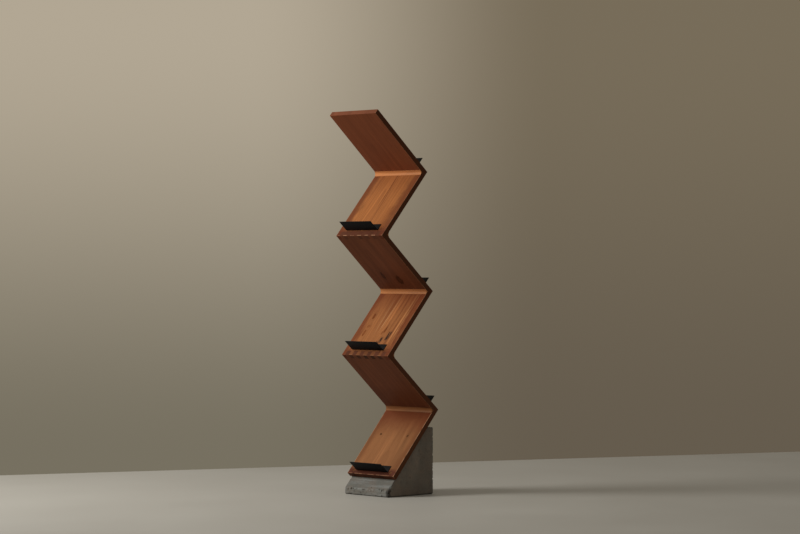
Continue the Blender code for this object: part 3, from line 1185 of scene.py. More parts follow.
@dataclass(frozen=True)
class CastConcrete:
    """Grey concrete: cloudy paste, sand, dark pits, level casting lines, a foot darker towards the bottom,
    painted warm bounce light on the sides, a painted highlight along the top of the front and painted shade
    in the chipped corner.

    Lengths are in millimetres, and a pair of numbers is where a soft step starts and ends.
    """

    paste: Colour = (0.138, 0.135, 0.115)
    pale: Colour = (0.245, 0.25, 0.235)
    dark: Colour = (0.05, 0.045, 0.036)
    # Warm tone of the paste, also painted warm bounce light on the sides
    warm_tone_and_bounce: Colour = (0.205, 0.158, 0.12)
    # Painted shade in the chipped corner
    chip_shade: Colour = (0.026, 0.022, 0.017)
    roughness: float = 0.82
    gloss: float = 0.3
    relief_depth: float = 0.0006
    relief_strength: float = 0.6

    # Paste, sand, casting lines, runs and pits
    cloud_waves: Waves = Waves(0.022, 4.0, 0.6)
    cloud_step: Pair = (0.35, 0.7)
    mottle_waves: Waves = Waves(0.11, 3.0, 0.6)
    mottle_step: Pair = (0.52, 0.76)
    sand_waves: Waves = Waves(1.3)
    line_waves: Waves = Waves((0.006, 0.03, 0.075), 4.0, 0.6)
    line_step: Pair = (0.46, 0.64)
    run_waves: Waves = Waves((0.016, 0.016, 0.006), 3.0)
    run_width: float = 0.9
    pit_cells: float = 0.16
    pit_step: Pair = (0.24, 0.12)
    pit_patches: Waves = Waves(0.05, 1.0)
    pit_patch_step: Pair = (0.5, 0.62)
    pit_share: float = 0.75

    # Faces from the surface inwards, the painted highlight and the darkening by height, and painted shade by
    # distance from the chipped corner
    side_step: Pair = (2.0, 0.5)
    face_step: Pair = (4.0, 1.5)
    # Painted highlight along the top of the front face
    lip_highlight_step: Pair = (16.0, 24.0)
    lip_highlight_patches: Pair = (0.6, 0.35)
    lip_highlight_share: float = 0.6
    # Darker towards the bottom
    bottom_dark_step: Pair = (6.0, 1.0)
    bottom_dark_patches: Pair = (0.25, 0.5)
    bottom_dark_share: float = 0.85
    # Painted shade in the chipped corner, by distance from it and by height
    corner_shade_wander: float = 22.0
    corner_shade_step: Pair = (18.0, 10.0)
    corner_shade_height: Pair = (44.0, 24.0)
    corner_shade_share: float = 0.85

    def material(self, name: str, corner: Pair) -> bpy.types.Material:
        """The finish of the foot.

        Args:
            name: the material's name.
            corner: the upright corner that is chipped and darkened with painted shade, in X and Y; the front
                face lies at its Y.

        Returns:
            The material.
        """
        paint = Paint(name)
        place = paint.place()
        x, y, height = paint.split(place)
        corner_x, corner_y = (part * MILLIMETRES for part in corner)
        mottle = paint.noise(place, self.mottle_waves)
        sand = paint.noise(place, self.sand_waves)
        cells = {"Vector": place, "Scale": self.pit_cells, "Randomness": 1.0}
        pits = paint.node("ShaderNodeTexVoronoi", {"feature": "F1"}, cells).rise(*self.pit_step)
        pits = pits * paint.noise(place, self.pit_patches).rise(*self.pit_patch_step)

        on_side = (corner_x - abs(x)).rise(*self.side_step)
        on_front = (y - corner_y).rise(*self.face_step)
        on_back = (-corner_y - y).rise(*self.face_step)
        cloud = paint.noise(place, self.cloud_waves).rise(*self.cloud_step)
        # The cloudy warm tone is the concrete's own; the extra warmth on the sides is painted bounce light
        colour = paint.mix(cloud * 0.5 + on_side * 0.5, self.paste, self.warm_tone_and_bounce)
        lines = paint.noise(place, self.line_waves).rise(*self.line_step)
        colour = paint.mix(lines * (0.55 - on_back * 0.42) * (1.0 - on_side), colour, self.pale)
        colour = paint.mix(mottle.rise(*self.mottle_step) * (0.3 + on_front * 0.5), colour, self.dark)
        runs = paint.swing(place, self.run_waves, self.run_width)
        colour = paint.times(colour, 1.0 + runs * on_side)

        # Painted highlight: a pale band along the top of the front face
        lip = on_front * height.rise(*self.lip_highlight_step) * mottle.rise(*self.lip_highlight_patches)
        colour = paint.mix(lip * self.lip_highlight_share, colour, self.pale)
        # Darker towards the bottom, with the dark pits
        bottom_darkening = height.rise(*self.bottom_dark_step) * (0.5 + mottle.rise(*self.bottom_dark_patches) * 0.5)
        bottom_and_pits = bottom_darkening * self.bottom_dark_share + pits * self.pit_share
        colour = paint.mix(bottom_and_pits.math("MINIMUM", 1.0), colour, self.dark)
        # Painted shade in the chipped front corner
        off_x, off_y = x - corner_x, y - corner_y
        ragged = (off_x * off_x + off_y * off_y).root() + (mottle - 0.5) * self.corner_shade_wander
        wear_and_painted_light = ragged.rise(*self.corner_shade_step) * height.rise(*self.corner_shade_height)
        colour = paint.mix(wear_and_painted_light * self.corner_shade_share, colour, self.chip_shade)
        colour = paint.times(colour, 0.9 + sand * 0.2 + on_front * 0.14)
        relief = sand * 0.5 + mottle * 0.6 - pits
        return paint.dress(
            Base_Color=colour,
            Roughness=self.roughness + (mottle - 0.5) * 0.2,
            Specular_IOR_Level=self.gloss,
            Normal=paint.bump(relief, self.relief_depth, self.relief_strength),
        )


BLACK_OXIDE = FastenerSteel(bright=(0.03, 0.03, 0.032), dull=(0.012, 0.012, 0.013))
DARK_STEEL = FastenerSteel(bright=(0.19, 0.08, 0.032), dull=(0.075, 0.03, 0.012), roughness=0.5)
ZINC = FastenerSteel(bright=(0.55, 0.55, 0.57), dull=(0.38, 0.38, 0.39))


# Boards


@dataclass
class Boards:
    """The six finger-jointed boards."""

    zigzag: Zigzag
    figures: dict[str, Figure]
    pine: OiledPine
    edge_ease: float = 0.002
    ease_steps: int = 4
    joint_gap: float = 0.00012
    overrun: float = 0.004
    pilot_radius: float = 0.0019
    pilot_floor: float = 0.007
    bolt_head_radius: float = 0.0063
    bolt_shank_radius: float = 0.0033
    bolt_head_rim: float = 0.0012
    least_countersink: float = 0.0001

    def build(self) -> None:
        """Make and dress every board."""
        places = self.zigzag.boards()
        fingers = self.finger_form(self.finger_sizes(places[0]))
        bore = self.bore_form(self.pilot_sizes(places[0]))
        for place in places:
            runs: list[Run] = [(fingers, self.finger_sizes(place)), (bore, self.pilot_sizes(place))]
            if not place.jointed_below:
                runs += [(bore, sizes) for sizes in self.bolt_sizes()]
            self.build_board(place, runs)

    def build_board(self, place: BoardPlace, runs: list[Run]) -> None:
        """Make and dress one board.

        Args:
            place: where it stands.
            runs: the trees that cut its fingers and holes.
        """
        name = place.named("board")
        mesh = grown_mesh(name + "_wood", self.blank(place), runs)
        shade(mesh, flats_stay=True)
        mesh.transform(place.matrix)
        material = self.pine.material(name + "_pine", self.figures[name], place)
        add_piece(name + "_wood", mesh, material, [name])

    def finger_sizes(self, place: BoardPlace) -> dict[str, float]:
        """The sizes of the gaps between a board's fingers.

        Args:
            place: where the board stands.

        Returns:
            The values of the finger tree's named sizes.
        """
        zigzag = self.zigzag
        gaps = zigzag.front_fingers if place.side is Side.REAR else zigzag.front_fingers - 1
        pitch = 2 * zigzag.column_width
        return {
            "Gaps below": gaps if place.jointed_below else 0,
            "Gaps above": gaps if place.jointed_above else 0,
            "First gap": -(gaps - 1) / 2 * pitch,
            "Pitch": pitch,
            "Gap width": zigzag.column_width + self.joint_gap,
            "Finger length": zigzag.board_thickness + self.joint_gap,
            "Board length": place.length,
            "Thickness": zigzag.board_thickness,
        }

    def pilot_sizes(self, place: BoardPlace) -> dict[str, float]:
        """The sizes of the holes for a ledge's two screws.

        Args:
            place: where the board stands.

        Returns:
            The values of the boring tree's named sizes.
        """
        along = place.ledge_margin + self.zigzag.ledge_screw_height
        spacing = self.zigzag.ledge_screw_spacing
        return self.hole_sizes(spacing, along, self.pilot_floor, self.pilot_radius, self.pilot_radius)

    def bolt_sizes(self) -> list[dict[str, float]]:
        """The sizes of each pair of countersunk holes for the anchor bolts."""
        radii = self.bolt_shank_radius, self.bolt_head_radius
        return [self.hole_sizes(*pair, -self.overrun, *radii) for pair in self.zigzag.bolt_pairs]

    def hole_sizes(
        self, spacing: float, along: float, floor: float, radius: float, head: float,
    ) -> dict[str, float]:
        """The sizes of a pair of holes.

        Args:
            spacing: how far apart the two are.
            along: how far up the board they lie.
            floor: how deep they reach, from the underside.
            radius: their radius.
            head: the radius of the countersink at the face.

        Returns:
            The values of the boring tree's named sizes.
        """
        return {
            "Spacing": spacing,
            "Along": along,
            "Floor": floor,
            "Radius": radius,
            "Head radius": head,
            "Head rim": self.bolt_head_rim,
            "Thickness": self.zigzag.board_thickness,
        }

    def blank(self, place: BoardPlace) -> bpy.types.Mesh:
        """A plain board with its free edges rounded.

        Args:
            place: the board's place, which says at which ends it is jointed.

        Returns:
            The mesh in the board's own frame.
        """
        zigzag = self.zigzag
        length, thickness = place.length, zigzag.board_thickness

        def is_free(edge: bmesh.types.BMEdge) -> bool:
            """Whether an edge is rounded: not where the next board meets it inside a corner.

            Args:
                edge: the edge.

            Returns:
                True for an edge to round.
            """
            first, second = (vert.co for vert in edge.verts)
            middle = (first + second) / 2
            is_under = middle.z < MERGE_DISTANCE
            is_over = middle.z > thickness - MERGE_DISTANCE
            inner_below = place.jointed_below and is_under and middle.y < thickness
            inner_above = place.jointed_above and is_over and middle.y > zigzag.board_step
            is_level = abs(first.y - second.y) < MERGE_DISTANCE
            at_cut = is_level and MERGE_DISTANCE < middle.y < length - MERGE_DISTANCE
            return not (inner_below or inner_above or at_cut)

        def build(shape: bmesh.types.BMesh) -> None:
            """Make the block, divide it where its neighbours meet it and round its edges.

            Args:
                shape: the bmesh that takes it.
            """
            size = Matrix.Diagonal((zigzag.board_width, length, thickness, 1))
            middle = Matrix.Translation((0, length / 2, thickness / 2))
            bmesh.ops.create_cube(shape, size=1, matrix=middle @ size)
            for cut in (thickness, zigzag.board_step):
                everything = shape.verts[:] + shape.edges[:] + shape.faces[:]
                bmesh.ops.bisect_plane(shape, geom=everything, plane_co=(0, cut, 0), plane_no=(0, 1, 0))
            edges = [edge for edge in shape.edges if is_free(edge)]
            rounding = {"offset": self.edge_ease, "segments": self.ease_steps, "profile": ROUND_PROFILE}
            bmesh.ops.bevel(shape, geom=edges, affect="EDGES", **rounding)

        return mesh_from("board_blank", build)

    def finger_form(self, sizes: dict[str, float]) -> Form:
        """The tree that cuts the gaps between a board's fingers, one row at each end.

        Args:
            sizes: the named sizes, with any board's values.

        Returns:
            The finished tree.
        """
        form = Form("finger_gaps", sizes)
        below, above, first, pitch, width, finger, length, thickness = form.sizes()
        # Each block lies half outside the board's end and passes right through its faces
        gap = form.block(form.join(width, finger * 2.0, thickness * 3.0))
        rows = []
        for count, along in ((below, 0.0), (above, length)):
            start = form.join(first, along, thickness / 2.0)
            rows.append(form.copies(gap, form.row(count, start, pitch)))
        return form.finish(form.cut(form.entering, [form.joined(*rows)]))

    def bore_form(self, sizes: dict[str, float]) -> Form:
        """The tree that bores a pair of holes, with a countersink where the head is wider.

        Args:
            sizes: the named sizes, with any pair's values.

        Returns:
            The finished tree.
        """
        form = Form("paired_holes", sizes)
        spacing, along, floor, radius, head, rim, thickness = form.sizes()
        top = thickness + self.overrun
        depth = head - radius + self.least_countersink
        shank = form.rod(radius, top - floor, (top + floor) / 2.0)
        countersink = form.cone(radius, head, depth, thickness - rim - depth)
        mouth = form.rod(head, rim + self.overrun, thickness + (self.overrun - rim) / 2.0)
        row = form.row(2, form.join(spacing / -2.0, along, 0.0), spacing)
        cutters = [form.copies(part, row) for part in (shank, countersink, mouth)]
        return form.finish(form.cut(form.entering, cutters))


# Cove strips


@dataclass
class Coves:
    """The hollow strips in the inner corners."""

    zigzag: Zigzag
    pine: CovePine
    leg: float = 0.015
    lip: float = 0.001
    side_inset: float = 0.0005
    steps: int = 24
    ease: float = 0.0003
    # Painted light and shade for each strip, from the lowest up: darkest low down, lightest at the top
    lit_and_shaded_tones: tuple[float, ...] = (0.62, 0.95, 1.1, 0.95, 1.36)

    def build(self) -> None:
        """Make and dress the strip of each joint."""
        strip = self.strip()
        corner = Matrix.Translation((0, self.zigzag.board_step, self.zigzag.board_thickness))
        turn = Matrix.Rotation(math.radians(90), 4, "X")
        jointed = [place for place in self.zigzag.boards() if place.jointed_above]
        for number, (place, tone) in enumerate(zip(jointed, self.lit_and_shaded_tones)):
            name = place.named("cove")
            mesh = strip.copy()
            mesh.transform(place.matrix @ corner @ turn)
            material = self.pine.material(name + "_pine", place.matrix, number, tone)
            add_piece(name + "_strip", mesh, material, [name])

    def strip(self) -> bpy.types.Mesh:
        """One strip, its legs along +Y and +Z.

        Returns:
            The mesh.
        """
        hollow = arc((self.leg, self.leg), self.leg - self.lip, 270, 180, self.steps)
        gap = self.zigzag.clearance
        outline = [(gap, gap), (self.leg, gap), *hollow, (gap, self.leg)]
        width = self.zigzag.board_width - 2 * self.side_inset
        base = mesh_from("cove_outline", lambda shape: extruded(shape, outline, width))
        mesh = grown_mesh("cove_strip", base, ease=self.ease)
        shade(mesh)
        return mesh


# Screws and bolts


class Head(Enum):
    """The heads that a fastener may have."""

    PAN = "pan"
    COUNTERSUNK = "countersunk"


@dataclass(frozen=True)
class Fastener:
    """A screw or bolt whose head sits on the point it stands on; all copies make one piece.

    Shares are of the head's radius and height, of the shank's radius or of its straight length.
    """

    name: str
    head: Head
    head_radius: float
    head_height: float
    shank_radius: float
    length: float
    point: float
    thread_pitch: float
    thread_height: float
    dome_rings: int = 16
    slot_shares: tuple[float, float, float] = (1.15, 0.26, 1.2)
    key_shares: Pair = (0.5, 1.6)
    key_sides: int = 6
    sunk_share: float = 0.8
    tip_share: float = 0.1
    thread_share: float = 0.7
    thread_steps: int = 18
    ridge_sides: int = 4

    def build(self, seats: list[Seat], material: bpy.types.Material, slot: str, nodes: list[str]) -> None:
        """Make every copy of the fastener as one piece.

        Args:
            seats: where each head sits and the way it faces.
            material: the finish.
            slot: the record's material slot; not used.
            nodes: the solids that the piece stands for.
        """
        sizes = {
            "Head radius": self.head_radius,
            "Head height": self.head_height,
            "Shank radius": self.shank_radius,
            "Length": self.length,
            "Point": self.point,
            "Thread pitch": self.thread_pitch,
            "Thread height": self.thread_height,
        }
        form = Form(self.name, sizes)
        radius, height, shank, length, point, pitch, ridge = form.sizes()
        body = form.joined(
            self.head_shape(form, radius, height, shank),
            self.shank_shape(form, height, shank, length, point),
            self.thread_shape(form, shank, length, point, pitch, ridge),
        )
        axis = form.node("GeometryNodeInputNamedAttribute", {"data_type": "FLOAT_VECTOR"}, {"Name": AXIS})
        turn = form.node("FunctionNodeAlignRotationToVector", {"axis": "Z"}, {"Vector": axis})
        form.finish(form.copies(body, form.entering, Rotation=turn), material)
        mesh = grown_mesh(self.name + "s", self.seat_points(seats), [(form, sizes)])
        shade(mesh)
        add_piece(self.name + "s", mesh, material, nodes)

    def seat_points(self, seats: list[Seat]) -> bpy.types.Mesh:
        """Loose points, each with the axis that is to stand on it.

        Args:
            seats: the places and their axes.

        Returns:
            The mesh.
        """
        mesh = lines_mesh(self.name + "_seats", [place for place, _ in seats], [])
        axes = mesh.attributes.new(AXIS, "FLOAT_VECTOR", "POINT")
        for item, (_, axis) in zip(axes.data, seats):
            item.vector = axis
        return mesh

    def head_shape(self, form: Form, radius: Sock, height: Sock, shank: Sock) -> Sock:
        """The head with its drive recess, its seat at Z = 0.

        Args:
            form: the fastener's tree.
            radius: the head's radius.
            height: the head's height.
            shank: the shank's radius.

        Returns:
            The shape.
        """
        if self.head is Head.PAN:
            sockets = {"Segments": ROUND_SIDES, "Rings": self.dome_rings, "Radius": 1.0}
            ball = form.node("GeometryNodeMeshUVSphere", None, sockets)
            dome = form.moved(ball, (0, 0, 0), scale=form.join(radius, radius, height))
            below = form.raised(form.block(form.join(radius * 4.0, radius * 4.0, height * 2.0)), -height)
            long, wide, deep = self.slot_shares
            bar = form.block(form.join(radius * long, radius * wide, height * deep))
            cross = [form.raised(bar, height, turn=(0, 0, angle)) for angle in (0.0, math.pi / 2)]
            return form.cut(dome, [below, *cross])
        wide, deep = self.key_shares
        key = form.rod(radius * wide, height * deep, sides=self.key_sides)
        return form.cut(form.cone(shank, radius, height, -height), [key])

    def shank_shape(self, form: Form, height: Sock, shank: Sock, length: Sock, point: Sock) -> Sock:
        """The shank and its point.

        Args:
            form: the fastener's tree.
            height: the head's height.
            shank: the shank's radius.
            length: the shank's length with its point.
            point: the point's length.

        Returns:
            The shape.
        """
        start = height * (self.sunk_share if self.head is Head.COUNTERSUNK else 0.0)
        straight = length - point - start
        rod = form.rod(shank, straight, -start - straight / 2.0)
        return form.joined(rod, form.cone(shank * self.tip_share, shank, point, -length))

    def thread_shape(
        self, form: Form, shank: Sock, length: Sock, point: Sock, pitch: Sock, ridge: Sock,
    ) -> Sock:
        """The thread: a ridge along a helix on the lower shank.

        Args:
            form: the fastener's tree.
            shank: the shank's radius.
            length: the shank's length with its point.
            point: the point's length.
            pitch: how far one turn climbs.
            ridge: how far the ridge stands out.

        Returns:
            The shape.
        """
        reach = (length - point) * self.thread_share
        helix = form.node("GeometryNodeCurveSpiral", None, {
            "Resolution": self.thread_steps,
            "Rotations": reach / pitch,
            "Start Radius": shank,
            "End Radius": shank,
            "Height": reach,
        })
        sockets = {"Resolution": self.ridge_sides, "Radius": ridge}
        section = form.node("GeometryNodeCurvePrimitiveCircle", {"mode": "RADIUS"}, sockets)
        return form.raised(form.swept(helix, section), point - length)


# Ledges and their screws


@dataclass
class Ledges:
    """The folded steel ledges and the screws that hold them."""

    zigzag: Zigzag
    steel: CoatedSteel
    screw_steel: FastenerSteel
    side_margin: float = 0.045
    plate: float = 0.033
    flap: float = 0.055
    sheet: float = 0.002
    bend_radius: float = 0.002
    bend_steps: int = 10
    edge_ease: float = 0.0003
    screw: Fastener = Fastener(
        "ledge_screw", Head.PAN, head_radius=0.004, head_height=0.0024, shank_radius=0.0017,
        length=0.0176, point=0.004, thread_pitch=0.0018, thread_height=0.0003,
    )

    def build(self) -> None:
        """Make and dress the ledges, then their screws as one piece."""
        zigzag = self.zigzag
        ledge = self.folded_sheet()
        steel = self.steel.material("black_coated_steel")
        seats: list[Seat] = []
        screws: list[str] = []
        for place in zigzag.boards():
            name = place.named("ledge")
            corner = (0, place.ledge_margin, zigzag.board_thickness + zigzag.clearance)
            stand = place.matrix @ Matrix.Translation(corner)
            mesh = ledge.copy()
            mesh.transform(stand)
            add_piece(name + "_sheet", mesh, steel, [name])
            for number, side in enumerate((-1, 1), 1):
                seat = Vector((side * zigzag.ledge_screw_spacing / 2, zigzag.ledge_screw_height, self.sheet))
                seats.append((stand @ seat, stand.to_3x3() @ UP))
                screws.append(f"{name}_screw_{number}")
        self.screw.build(seats, self.screw_steel.material("black_oxide_screw"), "black_screw", screws)

    def folded_sheet(self) -> bpy.types.Mesh:
        """One ledge: its plate runs up the board along Y, its flap stands out along Z.

        Returns:
            The mesh.
        """
        sizes = {
            "Width": self.zigzag.board_width - 2 * self.side_margin,
            "Plate": self.plate,
            "Flap": self.flap,
            "Sheet": self.sheet,
            "Bend radius": self.bend_radius,
            "Bend steps": self.bend_steps,
        }
        form = Form("folded_sheet", sizes)
        width, plate, flap, sheet, bend, steps = form.sizes()
        middle = sheet / 2.0
        number = form.node("GeometryNodeInputIndex")
        y = middle + (number < 0.5) * (plate - middle)
        z = middle + (number > 1.5) * (flap - middle)
        corners = form.node("GeometryNodeSetPosition", None, {
            "Geometry": form.row(3, (0.0, 0.0, 0.0), sheet), "Position": form.join(0.0, y, z),
        })
        path = form.node("GeometryNodeMeshToCurve", None, {"Mesh": corners})
        sockets = {"Curve": path, "Count": steps, "Radius": bend + middle}
        path = form.node("GeometryNodeFilletCurve", {"mode": "POLY"}, sockets)
        sockets = {"Curve": path, "Normal": (1.0, 0.0, 0.0)}
        path = form.node("GeometryNodeSetCurveNormal", {"mode": "FREE"}, sockets)
        sockets = {"Width": width, "Height": sheet}
        section = form.node("GeometryNodeCurvePrimitiveQuadrilateral", None, sockets)
        form.finish(form.swept(path, section))
        start = bpy.data.meshes.new("ledge_start")
        mesh = grown_mesh("folded_ledge", start, [(form, sizes)], ease=self.edge_ease)
        shade(mesh)
        return mesh


# Concrete foot and its anchors


@dataclass(frozen=True)
class Lumps:
    """Lumpy balls that cut the foot: their least and greatest radius, and the seeds of what is random."""

    sizes: Pair
    shape_seed: float
    turn_seed: int
    size_seed: int


@dataclass(frozen=True)
class ChipRow:
    """Lumps along a line, on a share of its places."""

    step: float
    share: float
    share_seed: int
    lumps: Lumps


@dataclass
class Foot:
    """The cast concrete foot."""

    zigzag: Zigzag
    concrete: CastConcrete
    node: str = "concrete_base"
    side_inset: float = 0.007
    top_depth: float = 0.042
    corner_chamfer: float = 0.004
    edge_ease: float = 0.003
    sharp_angle: float = math.radians(20)
    voxel: float = 0.0042
    swell: float = 0.0009
    swell_waves: Waves = Waves(15.0)
    ripple: float = 0.0004
    ripple_waves: Waves = Waves(90.0)
    least_wear: float = 0.0001
    underside: float = -0.5
    pit_spacing: float = 0.0095
    pit_density: float = 1900.0
    pit_seed: int = 11
    pit_patches: Waves = Waves(22.0)
    pit_step: Pair = (0.42, 0.68)
    pits: Lumps = Lumps((0.0005, 0.0028), shape_seed=3.0, turn_seed=5, size_seed=7)
    ridge_chips: ChipRow = ChipRow(
        step=0.012, share=0.42, share_seed=23,
        lumps=Lumps((0.0016, 0.0062), shape_seed=23.0, turn_seed=29, size_seed=31),
    )
    corner_chips: ChipRow = ChipRow(
        step=0.005, share=0.8, share_seed=41,
        lumps=Lumps((0.0045, 0.0085), shape_seed=41.0, turn_seed=47, size_seed=49),
    )
    chip_voxel: float = 0.0008
    shortest_ridge: float = 0.04
    lump_waves: Waves = Waves(1.3)
    lump_detail: int = 3
    lump_least: float = 0.6
    lump_spread: float = 0.8
    greatest_turn: float = 6.28

    @property
    def height(self) -> float:
        """The height of the foot's top."""
        run = self.zigzag.foot_depth - self.top_depth
        return self.zigzag.foot_front_height + run * math.tan(self.zigzag.board_slope)

    @property
    def corner(self) -> Pair:
        """The upright front corner that is worn most, in X and Y."""
        return self.zigzag.board_width / 2 - self.side_inset, -self.zigzag.foot_depth / 2

    def build(self) -> None:
        """Make and dress the foot."""
        block = self.block()
        guides = [bpy.data.objects.new(mesh.name, mesh) for mesh in (self.ridges(block), self.worn_corner())]
        for guide in guides:
            bpy.context.scene.collection.objects.link(guide)
        ridges, corner = guides
        sizes = {
            "Swell": self.swell,
            "Ripple": self.ripple,
            "Pit spacing": self.pit_spacing,
            "Pit density": self.pit_density,
            "Ridges": ridges,
            "Ridge step": self.ridge_chips.step,
            "Worn corner": corner,
            "Corner step": self.corner_chips.step,
        }
        mesh = grown_mesh("concrete_foot", block, [(self.weathering(sizes), sizes)], voxel=self.voxel)
        for guide in guides:
            bpy.data.objects.remove(guide, do_unlink=True)
        shade(mesh)
        material = self.concrete.material("cast_concrete", self.corner)
        add_piece("concrete_foot", mesh, material, [self.node])

    def block(self) -> bpy.types.Mesh:
        """The plain wedge with its upright corners chamfered.

        Returns:
            The mesh.
        """
        front, back = -self.zigzag.foot_depth / 2, self.zigzag.foot_depth / 2
        outline = [
            (front, 0.0),
            (back, 0.0),
            (back, self.height),
            (back - self.top_depth, self.height),
            (front, self.zigzag.foot_front_height),
        ]
        width = self.zigzag.board_width - 2 * self.side_inset

        def is_upright(edge: bmesh.types.BMEdge) -> bool:
            """Whether an edge stands upright."""
            first, second = (vert.co for vert in edge.verts)
            return abs((first - second).normalized().z) == 1.0

        def build(shape: bmesh.types.BMesh) -> None:
            """Extrude the outline, chamfer the upright corners and ease the rest.

            Args:
                shape: the bmesh that takes it.
            """
            extruded(shape, outline, width)
            upright = [edge for edge in shape.edges if is_upright(edge)]
            bmesh.ops.bevel(shape, geom=upright, affect="EDGES", offset=self.corner_chamfer, segments=1)
            sharp = [edge for edge in shape.edges if edge.calc_face_angle(0.0) > self.sharp_angle]
            rounding = {"offset": self.edge_ease, "segments": EASE_STEPS, "profile": ROUND_PROFILE}
            bmesh.ops.bevel(shape, geom=sharp, affect="EDGES", **rounding)

        return mesh_from("foot_block", build)

    def ridges(self, block: bpy.types.Mesh) -> bpy.types.Mesh:
        """The outer edges of the wedge, where chips come off.

        Args:
            block: the wedge.

        Returns:
            A mesh of edges alone.
        """
        corners = [vertex.co for vertex in block.vertices]
        edges = []
        for edge in block.edges:
            first, second = (corners[i] for i in edge.vertices)
            if (first - second).length > self.shortest_ridge:
                edges.append(tuple(edge.vertices))
        return lines_mesh("foot_ridges", corners, edges)

    def worn_corner(self) -> bpy.types.Mesh:
        """The upright line along which the front corner is worn, as a mesh of one edge."""
        ends = [(*self.corner, z) for z in (0.0, self.zigzag.foot_front_height)]
        return lines_mesh("foot_worn_corner", ends, [(0, 1)])

    def weathering(self, sizes: dict[str, Any]) -> Form:
        """The tree that makes the faces uneven and cuts pits and edge chips.

        Args:
            sizes: the named sizes and their values.

        Returns:
            The finished tree.
        """
        form = Form("weathered_concrete", sizes)
        swell, ripple, spacing, density, ridges, ridge_step, corner, corner_step = form.sizes()
        place = form.node("GeometryNodeInputPosition")
        normal = form.node("GeometryNodeInputNormal")
        not_under = form.split(normal)[2] > self.underside
        inward = form.noise(place, self.swell_waves) * swell + form.noise(place, self.ripple_waves) * ripple
        offset = form.scaled(normal, -(inward * not_under + self.least_wear))
        sockets = {"Geometry": form.entering, "Offset": offset}
        uneven = form.node("GeometryNodeSetPosition", None, sockets)
        x, y, z = form.split(place)
        sockets = {"Geometry": uneven, "Position": form.join(x, y, z.math("MAXIMUM", 0.0))}
        uneven = form.node("GeometryNodeSetPosition", None, sockets)

        scattered = form.node("GeometryNodeDistributePointsOnFaces", {"distribute_method": "POISSON"}, {
            "Mesh": uneven,
            "Selection": not_under,
            "Distance Min": spacing,
            "Density Max": density,
            "Density Factor": form.noise(place, self.pit_patches).rise(*self.pit_step),
            "Seed": self.pit_seed,
        })
        pits = self.scatter(form, scattered, self.pits)
        chips = self.chips(form, ridges, ridge_step, self.ridge_chips)
        wear_and_painted_light = self.chips(form, corner, corner_step, self.corner_chips)
        chipped = form.cut(uneven, [form.skin(self.chip_voxel, chips, wear_and_painted_light)], "MANIFOLD")
        return form.finish(form.cut(chipped, [pits], "MANIFOLD"))

    def chips(self, form: Form, line: Sock, step: Sock, row: ChipRow) -> Sock:
        """Lumps along a line, for cutting chips out of it.

        Args:
            form: the tree that they belong to.
            line: the object that holds the line.
            step: how far apart their places are.
            row: the rest of their sizes.

        Returns:
            The shape.
        """
        edges = form.node("GeometryNodeObjectInfo", None, {"Object": line}).out("Geometry")
        curve = form.node("GeometryNodeMeshToCurve", None, {"Mesh": edges})
        curve = form.node("GeometryNodeResampleCurve", {"mode": "LENGTH"}, {"Curve": curve, "Length": step})
        beads = form.node("GeometryNodeCurveToPoints", {"mode": "EVALUATED"}, {"Curve": curve})
        return self.scatter(form, beads, row.lumps, form.draw(row.share_seed) < row.share)

    def scatter(self, form: Form, points: Sock, lumps: Lumps, chosen: Value = True) -> Sock:
        """Lumpy balls on points, each turned and sized at random, small ones more often.

        Args:
            form: the tree that they belong to.
            points: where they go.
            lumps: their sizes and seeds.
            chosen: which points have one.

        Returns:
            The shape.
        """
        place = form.node("GeometryNodeInputPosition")
        rough = form.noise(form.vector("ADD", place, (lumps.shape_seed, 0.0, 0.0)), self.lump_waves)
        radius = self.lump_least + rough * self.lump_spread
        sockets = {"Radius": 1.0, "Subdivisions": self.lump_detail}
        ball = form.node("GeometryNodeMeshIcoSphere", None, sockets)
        sockets = {"Geometry": ball, "Position": form.scaled(place, radius)}
        lump = form.node("GeometryNodeSetPosition", None, sockets)

        sockets = {"Max": (self.greatest_turn,) * 3, "Seed": lumps.turn_seed}
        turn = form.node("FunctionNodeRandomValue", {"data_type": "FLOAT_VECTOR"}, sockets)
        chance = form.draw(lumps.size_seed)
        least, most = lumps.sizes
        size = least + chance * chance * chance * (most - least)
        return form.copies(
            lump, points, Selection=chosen, Rotation=turn, Scale=form.join(size, size, size),
        )


@dataclass
class Anchors:
    """The countersunk bolts of the lowest board, and the sockets that they enter."""

    zigzag: Zigzag
    bolt_steel: FastenerSteel
    zinc: FastenerSteel
    head_recess: float = 0.0006
    bolt: Fastener = Fastener(
        "anchor_bolt", Head.COUNTERSUNK, head_radius=0.006, head_height=0.003, shank_radius=0.0029,
        length=0.0573, point=0.001, thread_pitch=0.001, thread_height=0.0003,
    )

    def build(self) -> None:
        """Make the bolts as one piece, and dress the sockets."""
        board = self.zigzag.boards()[0]
        top = self.zigzag.board_thickness - self.head_recess
        axis = board.matrix.to_3x3() @ UP
        seats = [
            (board.matrix @ Vector((side * spacing / 2, along, top)), axis)
            for spacing, along in self.zigzag.bolt_pairs
            for side in (-1, 1)
        ]
        numbers = range(1, len(seats) + 1)
        bolts = [f"anchor_bolt_{number}" for number in numbers]
        self.bolt.build(seats, self.bolt_steel.material("dark_bolt_steel"), "dark_bolt", bolts)
        zinc = self.zinc.material("zinc_socket_steel")
        for number in numbers:
            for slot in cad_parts[f"anchor_socket_{number}"].material_slots:
                slot.material = zinc


# Floor, light and camera


